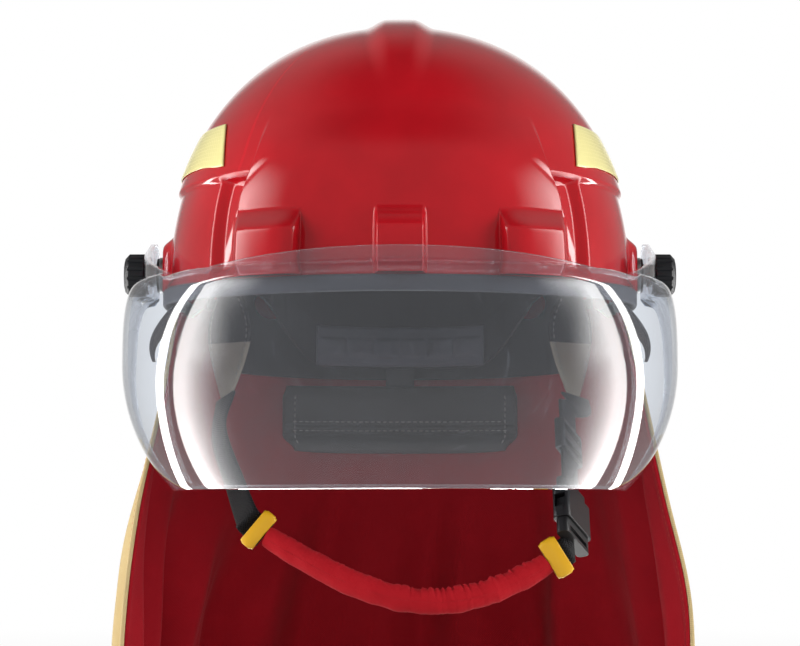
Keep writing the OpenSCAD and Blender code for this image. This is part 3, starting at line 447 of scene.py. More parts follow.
def paintFinish():
    f = Finish("shellRed", paint["red"], 0.3, Specular_IOR_Level=paint["specular"],
               Coat_Roughness=paint["coatRoughness"], Coat_IOR=1.6)
    mottle = f.noise(16.0, 5.0, 0.55)
    peel = f.noise(420.0, 2.0, 0.4)
    hairs = (f.streaks((35.0, 420.0, 900.0), (0.5, 0.3, 0.8), 2.0, 0.8) - 0.66).clamped() * 6
    edges = f.add("NewGeometry", out="Pointiness")
    rubbed = ((edges - 0.515).clamped() * 14 * (f.noise(120.0, 4.0, 0.7) * 1.4)).clamped()
    mottled = f.blend((mottle * 1.4 - 0.2).clamped(), paint["deep"], paint["red"])
    f.put("Base Color", f.blend((rubbed * 0.35 + hairs * 0.12).clamped(), mottled, paint["bright"]))
    f.put("Roughness", (0.24 + mottle * 0.12 + hairs * 0.2).clamped())
    f.put("Coat Weight", (1.0 - hairs * 0.35 - rubbed * 0.3).clamped())
    f.put("Normal", f.bump(peel, paint["peel"], 0.5))
    return f.material


def rubberFinish():
    grey = linear(80, 79, 84)
    f = Finish("trimRubber", grey, 0.55)
    broad = f.noise(30.0, 4.0, 0.6)
    fine = f.noise(1100.0, 2.0)
    f.put("Base Color", f.blend((broad * 1.5 - 0.3).clamped(), shade(grey, 0.72), shade(grey, 1.15)))
    f.put("Roughness", (0.45 + broad * 0.2).clamped())
    f.put("Normal", f.bump(fine + (f.height() * 4200.0).sin() * 0.25, 0.05, 0.6))
    return f.material


def reflectiveFinish():
    pale, deep = linear(250, 240, 165), linear(228, 212, 120)
    f = Finish("reflectiveYellow", pale, 0.3, Coat_Weight=0.6, Coat_Roughness=0.08)
    u, v = f.cut()
    both = f.add("CombineXYZ", links={"X": u, "Y": v})
    cells = f.add("TexVoronoi", {"feature": "DISTANCE_TO_EDGE"},
                  {"Vector": both, "Scale": 420.0, "Randomness": 0.15})
    walls = cells < 0.055
    broad = f.noise(40.0)
    f.put("Base Color", f.blend((walls * 0.45 + (broad - 0.5) * 0.3).clamped(), pale, deep))
    f.put("Roughness", (walls * 0.25 + 0.25).clamped())
    f.put("Normal", f.bump(1.0 - walls, 0.04, 0.5))
    return f.material


def foamFinish():
    grey = linear(86, 84, 86)
    f = Finish("linerFoam", grey, 0.95)
    beads = f.add("TexVoronoi", links={"Vector": f.where, "Scale": 340.0})
    broad = f.noise(20.0)
    f.put("Base Color", f.blend((beads * 1.4).clamped(), shade(grey, 1.2), shade(grey, 0.7)))
    f.put("Roughness", (0.85 + broad * 0.1).clamped())
    f.put("Normal", f.bump(1.0 - beads, 0.3, 0.7))
    return f.material


def metalFinish():
    steel = linear(198, 198, 196)
    f = Finish("studSteel", steel, 0.28, Metallic=1.0)
    brushed = f.streaks((2500.0, 90.0, 90.0), (0.0, 0.0, 0.0), 3.0, 0.5)
    broad = f.noise(60.0)
    f.put("Base Color", f.blend((broad * 1.3 - 0.2).clamped(), shade(steel, 0.75), steel))
    f.put("Roughness", (0.2 + brushed * 0.2).clamped())
    f.put("Normal", f.bump(brushed, 0.02, 0.4))
    return f.material


# Leather-like felt of the strap yokes, and the coated cloth of the nape pad; a dark colour given as lining is
# painted shade above a height.
def hideFinish(name, colour, scale, roughness, depth=0.12, lining=None, paintedShadeFrom=0.0):
    f = Finish(name, colour, roughness)
    pores = f.add("TexVoronoi", links={"Vector": f.where, "Scale": scale})
    broad = f.noise(34.0, 5.0, 0.65)
    creases = f.noise(150.0, 4.0, 0.7)
    tone = f.blend((broad * 1.6 - 0.35).clamped(), shade(colour, 0.74), shade(colour, 1.08))
    # Painted shade: above a height the tone turns to the dark lining colour, standing in for the shade under
    # the brim.
    if lining:
        upper = ((f.height() - paintedShadeFrom * mm) * 1500.0 + (creases - 0.5) * 0.8).clamped()
        tone = f.blend(upper, tone, lining)
    f.put("Base Color", tone)
    f.put("Roughness", (roughness - 0.1 + creases * 0.25).clamped())
    f.put("Normal", f.bump(pores * 0.7 + creases, depth, 0.7))
    return f.material


# The clear sheet: see-through, with a mirror that grows toward its edges and a faint haze of hairlines.
visorLook = {
    "tint": linear(243, 246, 250), "film": linear(212, 217, 228), "haze": 0.035, "mirror": 0.095,
    "inside": 0.012, "rise": 3.4, "riseGain": 8.5, "riseMost": 0.85,
    "edgeHaze": 0.3, "edgeFilm": linear(225, 215, 220), "edgeMirror": 0.05,
}


def visorFinish(name, haze, film, shine):
    look = visorLook
    f = Finish(name, film, 0.32)
    clear = f.add("BsdfTransparent", links={"Color": look["tint"]})
    facing = f.add("LayerWeight", links={"Blend": 0.5}, out="Facing")
    hairs = (f.streaks((60.0, 500.0, 45.0), (0.2, 0.5, 0.9), 2.0, 0.8) - 0.64).clamped() * 4
    smears = f.noise(18.0, 5.0, 0.6)
    mirror = f.add("BsdfPrincipled", links={"Base Color": (1, 1, 1, 1), "Metallic": 1.0,
                                            "Roughness": (smears * 0.05 + hairs * 0.08).clamped()})
    cloudy = (hairs * 0.12 + smears * haze * 0.8 + haze * 0.6).clamped()
    seen = f.add("MixShader", links={0: cloudy, 1: clear, 2: f.body})
    gain = min(look["riseMost"], shine * look["riseGain"])
    gloss = ((facing ** look["rise"]) * gain + shine).clamped()
    f.show(f.add("MixShader", links={0: gloss, 1: seen, 2: mirror}))
    return f.material


finishes = {
    "shell": paintFinish(),
    "trim": rubberFinish(),
    "strip": reflectiveFinish(),
    "foam": foamFinish(),
    "plastic": mouldedFinish("blackPlastic", linear(34, 33, 35), 0.42, grain=0.05),
    "knob": mouldedFinish("knobBlack", linear(30, 32, 36), 0.36, grain=0.03, scuff=0.35),
    "steel": metalFinish(),
    "padCloth": wovenFinish("padFabric", linear(42, 40, 43), 1.1, depth=0.22),
    "quiltCloth": wovenFinish("quiltFabric", linear(98, 98, 106), 1.1, depth=0.18),
    "crownCloth": wovenFinish("crownMesh", linear(58, 56, 60), 1.8, depth=0.4),
    "nape": hideFinish("napeCoating", linear(31, 30, 33), 800.0, 0.5, depth=0.04),
    "web": wovenFinish("webbingBlack", linear(24, 23, 25), 1.5, 0.7, depth=0.4, sheen=0.08),
    "loop": mouldedFinish("loopYellow", linear(246, 186, 30), 0.45, scuff=0.15, coat=0.1),
    "sleeve": wovenFinish("sleeveRed", linear(182, 20, 32), 0.9, 0.8, depth=0.14, sheen=0.03, dark=0.8),
    "lining": wovenFinish("curtainRed", linear(172, 20, 34), 1.0, depth=0.16, sheen=0.05, dark=0.8),
    "curtain": wovenFinish("curtainTan", linear(226, 200, 146), 1.0, depth=0.16, dark=0.82, wear=0.12),
    "thread": wovenFinish("threadOrange", linear(226, 122, 82), 0.6, 0.7, depth=0.05),
    "threadPale": wovenFinish("threadPale", linear(150, 146, 140), 0.6, 0.7, depth=0.05),
    # The yokes' near-black colour above -23 mm is painted shade where the shell's brim shades them.
    "yoke": hideFinish("yokeCream", linear(166, 154, 134), 600.0, 0.75,
                       lining=linear(22, 22, 25), paintedShadeFrom=-23.0),
    "ear": wovenFinish("earGrey", linear(74, 70, 74), 1.3, 0.9, depth=0.25),
    "visor": visorFinish("visorClear", visorLook["haze"], visorLook["film"], visorLook["mirror"]),
    "visorInside": visorFinish("visorInside", visorLook["haze"], visorLook["film"], visorLook["inside"]),
    "visorEdge": visorFinish("visorEdge", visorLook["edgeHaze"], visorLook["edgeFilm"],
                             visorLook["edgeMirror"]),
}
print("finishes made:", len(finishes))


# Camera, as the photograph was taken: in front, a little below the brim, tilted up.
camera = {"away": 1350, "low": 117.6, "tilt": 4.43, "lens": 115.7}
view = bpy.data.cameras.new("camera")
view.lens = camera["lens"]
view.sensor_width = 36
view.clip_start, view.clip_end = 0.05, 60
viewer = bpy.data.objects.new("camera", view)
viewer.location = (0, -camera["away"] * mm, -camera["low"] * mm)
viewer.rotation_euler = (math.radians(90 + camera["tilt"]), 0, 0)
bpy.context.scene.collection.objects.link(viewer)
bpy.context.scene.camera = viewer


# Shell: a superellipsoid dome with a brow panel, niches, sunk side panels, lugs, pivot bosses and a comb.
shell = {
    "halfWidth": 123, "front": 137, "rear": 150, "crown": 141, "domePower": 2.2, "planPower": 2.1, "wall": 3,
    "sideRise": 2, "riseTurn": (30, 85), "rearDrop": 35, "dropTurn": (102, 158), "rimFade": 7,
    "brow": 3, "browHalf": 78, "browTop": (58, 84), "niche": 6.5, "nicheEdge": (0.2, 3.2),
    "ledge": 52, "ledgeSoft": 1.1, "ledgeUnder": 1.6,
    "panel": 2.3, "panelFrom": (91.5, 95.5), "panelEnd": 60, "panelSoft": 8,
    "comb": 4, "combHalf": 9.5, "combNarrow": 0.35, "combEdge": (-3, 9), "combFront": (82, 134),
    "combRear": (50, 100),
    "midLugHalf": 11, "midLugOut": 11, "midLugEdge": (-0.6, 1.6),
    "lug": (47, 86), "lugRound": 15, "lugPower": 2.4, "lugEdge": (-0.3, 1.7), "lugOut": 13, "lugStep": 4,
    "lugStepEdge": (-1.2, 1.4), "lugTop": 21.6, "lugSlope": 10.6, "lugEase": 0.35,
    "lean": 4.5, "leanHeight": (35, 64), "leanFrom": 60, "leanEnd": (4, 98),
    "bossX": 124, "boss": (13.5, 21), "bossFrom": 80, "axis": 12,
}
frontFrom = 0.02  # cosine of the turn from which a column belongs to the front


def planOf(th):
    reach = np.where(cosDeg(th) > 0, shell["front"], shell["rear"])
    e = 2 / shell["planPower"]
    return shell["halfWidth"] * signedPower(sinDeg(th), e), -reach * signedPower(cosDeg(th), e)


def girthAt(z):
    return (1 - np.minimum(1, np.abs(z) / shell["crown"]) ** shell["domePower"]) ** (1 / shell["domePower"])


def domeAt(th, z):
    x, y = planOf(th)
    girth = girthAt(z)
    return stack(x * girth, y * girth, z)


def outOf(p, th):
    reach = np.where(cosDeg(th) > 0, shell["front"], shell["rear"])
    return unit(stack(p[..., 0] / shell["halfWidth"] ** 2, p[..., 1] / reach ** 2,
                      p[..., 2] / shell["crown"] ** 2))


def insideDome(th, z, depth):
    p = domeAt(th, z)
    return p - np.asarray(depth)[..., None] * outOf(p, th)


def rimAt(th):
    s = shell
    half = 180 - np.abs(180 - np.asarray(th, float) % 360)
    drop = (s["sideRise"] + s["rearDrop"]) * ease(*s["dropTurn"], half)
    return s["sideRise"] * ease(*s["riseTurn"], half) - drop


def turnAtX(x):
    return np.degrees(np.arcsin((np.clip(x, 0, None) / shell["halfWidth"]) ** (shell["planPower"] / 2)))


def edgeOff(at, edge, v):
    # Fades from 1 to 0 over an edge that starts and ends a little before and after a place.
    return 1 - ease(at + edge[0], at + edge[1], v)


def shellOffset(th, x0, p, z):
    # How far the brow panel, niches, side panels and comb stand off the dome.
    s = shell
    low = 1 - easeRound(s["ledge"], s["ledgeSoft"], z)
    brow = s["brow"] * (1 - ease(*s["browTop"], z))
    niche = mix(brow, -s["niche"] * low, 1 - edgeOff(s["browHalf"], s["nicheEdge"], x0))
    front = mix(niche, -s["panel"] * low, ease(*s["panelFrom"], x0))
    side = -s["panel"] * low * (1 - easeRound(s["panelEnd"], s["panelSoft"], p[..., 1]))
    rim = rimAt(th)
    grow = np.where(p[..., 1] < 0, ease(*s["combFront"], z), ease(*s["combRear"], z))
    half = s["combHalf"] * mix(s["combNarrow"], 1, grow)
    comb = s["comb"] * grow * edgeOff(half, s["combEdge"], np.abs(p[..., 0]))
    return ease(rim, rim + s["rimFade"], z) * np.where(cosDeg(th) > frontFrom, front, side) + comb


def lugOffset(th, x0, z):
    # How far forward the three lugs stand, with sloped tops and round inner corners.
    s = shell
    fall = clamp01((s["lugTop"] + s["lugSlope"] - z) / s["lugSlope"])
    fall = mix(fall, ease(0, 1, fall), s["lugEase"])
    middle = s["midLugOut"] * edgeOff(s["midLugHalf"], s["midLugEdge"], x0)
    inner, outer = s["lug"]
    corner = np.sqrt(np.maximum(0, 1 - (1 - clamp01((x0 - inner) / s["lugRound"])) ** s["lugPower"]))
    side = corner * edgeOff(outer, s["lugEdge"], x0)
    side = side * (s["lugOut"] - s["lugStep"] * (1 - edgeOff(s["browHalf"], s["lugStepEdge"], x0)))
    return np.where(cosDeg(th) < 0.1, 0, fall * (middle + side))


def shellGrid(th0, share, wall):
    # th0 are the columns and share the height, from 0 at the rim over 1 at the ledge to 2 at the crown.
    s = shell
    th0, share = np.meshgrid(th0, share)
    ledgeLow = s["ledge"] - s["ledgeUnder"]
    turn = math.degrees(math.asin((ledgeLow / s["crown"]) ** (s["domePower"] / 2)))
    high = s["crown"] * sinDeg(mix(turn, 90, clamp01(share - 1))) ** (2 / s["domePower"])
    z = np.where(share <= 1, mix(rimAt(th0), ledgeLow, clamp01(share)), high)
    x0 = np.abs(planOf(th0)[0])
    lean = s["lean"] * ease(*s["leanHeight"], z) * ease(s["leanFrom"], s["browHalf"], x0)
    lean = lean * (1 - ease(s["browHalf"] + s["leanEnd"][0], s["leanEnd"][1], x0))
    leaned = turnAtX(x0 - lean)
    th = np.where(cosDeg(th0) > frontFrom, np.where(th0 > 180, 360 - leaned, leaned), th0)
    p = domeAt(th, z)
    o = shellOffset(th0, x0, p, z)
    if wall:
        return p + (np.minimum(o, 0) - wall)[..., None] * outOf(p, th)
    q = p + o[..., None] * outOf(p, th)
    near = (np.abs(p[..., 1]) ** 4 + np.abs(p[..., 2] - s["axis"]) ** 4) ** 0.25
    boss = (1 - ease(s["boss"][0] + 1, s["boss"][1], near)) * (np.abs(p[..., 0]) > s["bossFrom"])
    q[..., 0] = mix(q[..., 0], np.sign(q[..., 0]) * s["bossX"], boss)
    q[..., 1] -= lugOffset(th0, x0, z)
    return q


# The mesh is finer at the sides of the lugs and panels, and its rows are closer at the ledge.
shellMesh = {"step": 1.1, "frontTo": 114, "fineAt": (11.5, 48.5, 78.5, 87.0, 93.5), "fineHalf": 2.6,
             "fineStep": 0.42, "sideFrom": 114.5, "turnStep": 0.85, "rows": (44, 12, 80),
             "ledgeShare": 0.055, "topShare": 0.997}


def buildShell():
    s, m = shell, shellMesh
    near = np.arange(-m["fineHalf"], m["fineHalf"], m["fineStep"])
    xs = np.concatenate([np.arange(0, m["frontTo"], m["step"])] + [at + near for at in m["fineAt"]])
    half = np.concatenate([turnAtX(np.unique(np.round(xs, 3))),
                           np.arange(turnAtX(m["sideFrom"]), 180, m["turnStep"]), [180]])
    cols = np.concatenate([half, 360 - half[-2:0:-1]])
    low, ledge, high = m["rows"]
    share = np.concatenate([np.linspace(0, 1, low, endpoint=False),
                            1 + np.linspace(0, m["ledgeShare"], ledge, endpoint=False),
                            1 + np.linspace(m["ledgeShare"], m["topShare"], high)])
    outer, inner = shellGrid(cols, share, 0), shellGrid(cols, share, s["wall"])
    rows, count = outer.shape[:2]
    poles = [[0, 0, s["crown"] + s["comb"]], [0, 0, s["crown"] - s["wall"]]]
    verts = np.concatenate([outer.reshape(-1, 3), inner.reshape(-1, 3), poles])
    n = rows * count
    span = np.arange(count)
    after = (span + 1) % count
    faces = np.concatenate([quads(rows, count, True, 0, True), quads(rows, count, True, n),
                            np.stack([span, after, n + after, n + span], -1)]).tolist()
    last = (rows - 1) * count
    faces += [(last + int(a), last + int(b), 2 * n) for a, b in zip(span, after)]
    faces += [(n + last + int(b), n + last + int(a), 2 * n + 1) for a, b in zip(span, after)]
    obj = makeMesh("shellPaint", verts, faces, np.zeros((len(verts), 2)))
    place(obj, "helmet", finishes["shell"], ["shell"])


trim = {"tall": 8.3, "lip": 1.0, "inner": 4.5}


def buildTrim():
    th = np.arange(0, 360, 1.0)
    rim = rimAt(th)
    h, lip, back = trim["tall"], trim["lip"], trim["inner"]
    profile = [(back, -0.1), (-lip + 0.5, -0.1), (-lip, -0.5), (-lip - 0.05, -1.6),
               (-lip, 1.2 - h), (-lip + 0.5, 0.4 - h), (0.4, -h),
               (back - 1.2, 0.3 - h), (back - 0.3, 1.0 - h), (back, 1.8 - h)]
    rings = []
    for depth, dz in profile:
        p = insideDome(th, rim, depth)
        rings.append(stack(p[:, 0], p[:, 1], rim + dz))
    obj = hoopMesh("edgeTrimRubber", np.array(rings))
    place(obj, "helmet", finishes["trim"], ["edge_trim"])


strip = {
    "low": 58, "high": 82, "thick": 0.8, "seat": 0.3, "frontX": 87, "end": 132, "lift": 1.5,
    "liftTurn": (50, 60), "rows": (0, 0.015, 0.05, 0.25, 0.5, 0.75, 0.95, 0.985, 1),
    "edge": (0.45, 0.85, 1, 1, 1, 1, 1, 0.85, 0.45),
}


def buildStrips():
    s, columns = strip, 90
    share, edge = np.array(s["rows"])[:, None], np.array(s["edge"])[:, None]
    z = mix(s["low"], s["high"], share) + np.zeros((1, columns))
    turn = mix(turnAtX(s["frontX"] / girthAt(z)), s["end"], np.linspace(0, 1, columns)[None])
    z = z + s["lift"] * ease(*s["liftTurn"], turn) * (1 - share)
    outer = insideDome(turn, z, -(s["seat"] + s["thick"] * edge))
    inner = insideDome(turn, z, -s["seat"])
    for side, sign in (("right", 1), ("left", -1)):
        flipped = np.array([sign, 1, 1])
        obj = mirroredSlab("reflectiveStrip." + side, outer * flipped, inner * flipped, sign < 0)
        place(obj, "helmet", finishes["strip"], ["reflective_strip_" + side])


liner = {"thick": 16, "low": 10.4, "z": 37, "top": 128, "gap": 0.9, "under": 0.92, "grooves": 16,
         "groove": 1.6}


def buildLiner():
    s = liner
    th = np.arange(0, 360, 3.0)
    turn, z = np.meshgrid(th, np.linspace(s["z"], s["top"], 40))
    skin = mix(s["low"], shell["wall"] + s["gap"] + 1, ease(50, 58, z))
    deep = s["low"] + s["thick"] * ease(s["z"] - 30, shell["ledge"] + 20, z)
    groove = s["groove"] * dip(fromNearest(turn, 360 / s["grooves"]), 1.6) * ease(45, 60, z)
    outer = insideDome(turn, z, skin)
    inner = insideDome(turn, z * s["under"], deep - groove)
    outer[0] = insideDome(th, s["z"], s["low"])
    inner[0, :, 2] = s["z"]
    obj = tubeMesh("linerFoamShell", np.concatenate([outer[::-1], inner]))
    place(obj, "helmet", finishes["foam"], ["impact_liner"])


buildShell()
print("shell built")
buildTrim()
buildStrips()
buildLiner()
print("trim, strips and liner built")


# Visor: a bowl round a centre ahead of the pivot axis, running back into flat arms and round ears.
visor = {
    "ahead": 32, "radius": 142, "bulge": 90, "widest": -38, "arm": 131, "flatFront": 4, "flatSide": -0.3,
    "top": 11, "bottom": -102, "notch": (-108, 1), "axis": 12, "ear": 16.5, "thick": 3,
    "rear": [(4, -34), (-14, -76), (-22, -93), (-38, -102)], "step": (-32, -13),
}
visorMesh = {"rows": 96, "bowl": 181, "ear": 40, "arm": 26, "bunched": 0.55, "rounds": 12, "settle": 0.7}


def bowlRadius(z, flat):
    v = visor
    below = v["radius"] - v["bulge"] + np.sqrt(np.maximum(0, v["bulge"] ** 2 - (z - v["widest"]) ** 2))
    t = np.clip((z - v["widest"]) / (flat - v["widest"]), 0, 1)
    above = v["arm"] + (v["radius"] - v["arm"]) * (1 - t ** 3) ** (1 / 3)
    return np.where(z < v["widest"], below, above)


def earTouch(point, way):
    # Where a straight edge from a point in the side view runs into the round ear.
    centre = np.array([0, visor["axis"]])
    d = np.array(point) - centre
    turn = math.atan2(d[1], d[0]) + way * math.acos(visor["ear"] / np.linalg.norm(d))
    return visor["ear"] * np.array([math.cos(turn), math.sin(turn)]) + centre


def visorEdges(y):
    # Lower and upper edge of the sheet in the side view at a distance y.
    v = visor
    notchY, notchZ = v["notch"]
    slope = (v["top"] - notchZ) / (v["ahead"] + v["arm"] + notchY)
    front = notchZ + slope * (notchY - y)
    arc = np.sqrt(np.maximum(0, v["ear"] ** 2 - y ** 2))
    touch = earTouch(v["notch"], -1)
    tangent = np.interp(y, [notchY, touch[0]], [notchZ, touch[1]])
    top = np.where(y < notchY, front, np.where(y < touch[0], tangent, v["axis"] + arc))
    back = earTouch(v["rear"][0], 1)
    line = v["rear"][::-1] + [tuple(back)]
    bottom = np.interp(y, [p[0] for p in line], [p[1] for p in line])
    return np.where(y > back[0], v["axis"] - arc, bottom), top


def visorGrid(depth):
    v, m = visor, visorMesh
    phi = np.linspace(-90, 90, m["bowl"])
    ear = v["ear"] * sinDeg(np.linspace(90, 0, m["ear"]))
    ySide = np.concatenate([ear[:-1], np.linspace(0, -v["ahead"], m["arm"])[:-1]])
    ones, zeros = np.ones(len(ySide)), np.zeros(len(phi))
    sign = np.concatenate([-ones, zeros, ones])
    isSide = sign != 0
    yKnown = np.concatenate([ySide, zeros, ySide[::-1]])
    turn = np.concatenate([-90 * ones, phi, 90 * ones])
    flat = np.where(isSide, mix(v["flatFront"], v["flatSide"], ease(*v["step"], yKnown)), v["flatFront"])
    top = np.full(len(turn), float(v["flatFront"]))
    bottom = np.full(len(turn), float(v["bottom"]))
    for _ in range(m["rounds"]):  # the edges depend on y, and y on the radius at the edge
        yTop = np.where(isSide, yKnown, -v["ahead"] - bowlRadius(top, flat) * cosDeg(turn))
        yBottom = np.where(isSide, yKnown, -v["ahead"] - bowlRadius(bottom, flat) * cosDeg(turn))
        top = mix(top, visorEdges(yTop)[1], m["settle"])
        bottom = mix(bottom, visorEdges(yBottom)[0], m["settle"])
    even = np.linspace(0, 1, m["rows"])
    share = mix(even, (1 - np.cos(np.pi * even)) / 2, m["bunched"])
    z = mix(bottom[None], top[None], share[:, None])
    dr = (bowlRadius(z + 0.05, flat[None]) - bowlRadius(z - 0.05, flat[None])) / 0.1
    tilt = depth / np.sqrt(1 + np.minimum(np.abs(dr), 3) ** 2)
    r = bowlRadius(z, flat[None]) - tilt
    x = np.where(isSide[None], sign[None] * r, r * sinDeg(turn)[None])
    y = np.where(isSide[None], yKnown[None], -v["ahead"] - r * cosDeg(turn)[None])
    return stack(x, y, z + tilt * np.clip(dr, -3, 3))


def buildVisor():
    obj = slabMesh("visorSheet", visorGrid(0)[:, ::-1], visorGrid(visor["thick"])[:, ::-1],
                   edgeSlot=1, innerSlot=2)
    place(obj, "visor", [finishes["visor"], finishes["visorEdge"], finishes["visorInside"]],
          ["visor", "visor_arm_left", "visor_arm_right"])


buildVisor()
print("visor built")


# Pads, each a crowned slab on the inside of a curved carrier.
headband = {"a": 80, "b": 100, "thick": 1.6, "low": 4, "tall": 28}
padSeat = 0.3  # the gap between a pad and what carries it


def padSwell(u, v):
    return np.maximum(0, 1 - np.abs(2 * u - 1) ** 6) ** 0.5 * np.maximum(0, 1 - np.abs(2 * v - 1) ** 4) ** 0.5


browPad = {"turn": 62, "over": 1, "edge": 1.8, "crown": 4, "channels": 8, "channel": 1.1,
           "channelWide": 0.045, "wrinkle": 0.25}


def buildBrowPad():
    h, s = headband, browPad
    u, v = np.meshgrid(np.linspace(0, 1, 150), np.linspace(0, 1, 26))
    turn = mix(-s["turn"], s["turn"], u)
    z = mix(h["low"] - s["over"], h["low"] + h["tall"] + s["over"], v)
    channel = s["channel"] * dip((u * s["channels"]) % 1 - 0.5, s["channelWide"])
    pillow = s["edge"] + (s["crown"] - channel) * padSwell(u, v)

    def at(d):
        return stack((h["a"] - d) * sinDeg(turn), -(h["b"] - d) * cosDeg(turn), z)

    front, back = at(pillow), at(padSeat)
    front = front + s["wrinkle"] * SoftNoise(4, 16).at(front)[..., None] * unit(front - back + 1e-6)
    obj = slabMesh("browPadCloth", front, back)
    place(obj, "helmet", finishes["padCloth"], ["brow_pad"])


crown = {"top": 104, "low": 26, "reach": 5.4, "turns": (90, 28, 152), "strapThick": 1.4, "strapWide": 18,
         "apart": 0.75, "bow": 88}
crownPad = {"under": [(0, -7), (18, -8.4), (28, -11.4), (32, -12.6), (34, -12.2), (34.4, -10.6)],
            "topFrom": 33, "topTo": 0.5, "fall": 0.006, "dimples": 6, "dimple": 0.8, "dimpleWide": 7}


def crownDrop(r):
    reach = headband["a"] + crown["reach"]
    return (crown["top"] - crown["low"]) * (1 - np.sqrt(np.maximum(0, 1 - (r / reach) ** 2)))


def buildCrownPad():
    s = crownPad
    topZ = crown["top"] - crown["strapThick"] - padSeat
    radii = np.linspace(s["topFrom"], s["topTo"], 14)
    upper = np.stack([radii, -crownDrop(radii) - s["fall"] * radii], -1)
    turn = np.linspace(0, 360, 96, endpoint=False)
    rings = []
    for r, z in np.vstack([smoothPath(s["under"], 26)[1:], upper]):
        dimple = s["dimple"] * dip(fromNearest(turn, 360 / s["dimples"]), s["dimpleWide"])
        dimple = dimple * (r > 4) * (z < -6.5) * ease(34, 24, r)
        rings.append(stack(r * sinDeg(turn), r * cosDeg(turn), topZ + z + dimple))
    obj = tubeMesh("crownPadMesh", np.array(rings)[::-1])
    place(obj, "helmet", finishes["crownCloth"], ["crown_pad"])


def buildCrownStraps():
    s, h = crown, headband
    w = np.linspace(-s["bow"], s["bow"], 60)
    for k, th in enumerate(s["turns"]):
        across, ahead = sinDeg(th), cosDeg(th)
        a = math.hypot((h["a"] + s["reach"]) * across, (h["b"] + s["reach"]) * ahead)
        yaw = math.atan2(-(h["b"] + h["thick"]) * ahead, (h["a"] + h["thick"]) * across)
        top = s["top"] + k * (s["strapThick"] + s["apart"])
        r = (a - s["strapThick"] / 2) * sinDeg(w)
        z = s["low"] + (top - s["low"] - s["strapThick"] / 2) * cosDeg(w)
        points = stack(r * math.cos(yaw), r * math.sin(yaw), z)
        ways = np.tile([-math.sin(yaw), math.cos(yaw), 0], (len(points), 1))
        obj = ribbonMesh("crownStrap.%d" % (k + 1), points, ways, s["strapWide"], s["strapThick"], 90, 9)
        place(obj, "helmet", finishes["web"], ["crown_strap_%d" % (k + 1)])


quiltedPad = {"a": 81.9, "b": 101.9, "wide": 94, "tall": 22, "z": -19, "edge": 1.6, "crown": 2.4,
              "channels": 6, "puff": 3.6, "puffFrom": 0.22, "puffTall": 0.48, "wrinkle": 0.22}


def buildQuiltedPad():
    s = quiltedPad
    u, v = np.meshgrid(np.linspace(0, 1, 180), np.linspace(0, 1, 36))
    puff = np.abs(sinDeg(180 * s["channels"] * u)) ** 0.75
    puffed = padSwell(u, clamp01((v - s["puffFrom"]) / s["puffTall"]))
    depth = s["edge"] + s["crown"] * padSwell(u, v) + s["puff"] * puff * puffed
    turn = 180 - np.degrees(np.arcsin((u - 0.5) * s["wide"] / s["a"]))
    z = s["z"] + s["tall"] * (v - 0.5)

    def at(d):
        return stack((s["a"] - d) * sinDeg(turn), -(s["b"] - d) * cosDeg(turn), z)

    front = at(depth + s["wrinkle"] * SoftNoise(9, 7).at(at(depth)) * padSwell(u, v))
    obj = slabMesh("quiltedPadCloth", front, at(padSeat))
    place(obj, "nape_unit", finishes["quiltCloth"], ["quilted_pad"])


# Rolls and creases across the pad: how far out, how high up, as a share, and how wide.
napePad = {
    "wide": 132, "tall": 38, "z": -60, "back": 105.3, "curve": 0.0022, "edge": 1.5, "crown": 6, "sag": 0.5,
    "rolls": ((3.4, 0.14, 0.09), (-2.4, 0.3, 0.035), (-1.2, 0.42, 0.02)), "cornerUp": 1.6, "stitchOut": 0.15,
    "seams": {"Seam.1": (23, slice(6, -6)), "Seam.2": (32, slice(6, -6)),
              "End.1": (slice(8, -8), 8), "End.2": (slice(8, -8), -9)},
}


def buildNapePad():
    s = napePad
    u, v = np.meshgrid(np.linspace(0, 1, 150), np.linspace(0, 1, 70))
    side = np.abs(2 * u - 1)
    roll = sum(out * dip(v - at, wide) for out, at, wide in s["rolls"])
    sag = s["sag"] * SoftNoise(12, 24).at(stack(u * s["wide"], v * s["tall"], 0))
    taper = 0.1 * ease(0.3, 0, v) ** 1.5 * side ** 3 + 0.03 * ease(0.8, 1, v)
    x = (u - 0.5) * s["wide"] * (1 - taper)
    z = s["z"] + s["tall"] * (v - 0.5) + s["cornerUp"] * side ** 4 * ease(0.35, 0, v)
    base = s["back"] - padSeat - s["curve"] * x * x
    front = base - s["edge"] - (s["crown"] + roll + sag) * padSwell(u, v)
    obj = slabMesh("napePadCover", stack(x, front, z), stack(x, base, z))
    place(obj, "nape_unit", finishes["nape"], ["nape_pad"])
    for label, cut in s["seams"].items():
        line = stack(x[cut], front[cut] - s["stitchOut"], z[cut])
        obj = stitchMesh("napePad" + label, line, (0, -1, 0), "pad")
        place(obj, "nape_unit", finishes["threadPale"])


buildBrowPad()
buildCrownPad()
buildCrownStraps()
buildQuiltedPad()
buildNapePad()
print("pads and crown straps built")


# Chin strap. The points repeat the route of the part's own straps; lean and turn tilt its right side.
strap = {"wide": 20, "endWide": 14, "thick": 1.5, "lean": 30, "turn": 64, "buckle": (86, -62.4, -121.6),
         "bend": 69, "clear": 3, "tongueEnd": 8.8, "bodyEnd": 20}
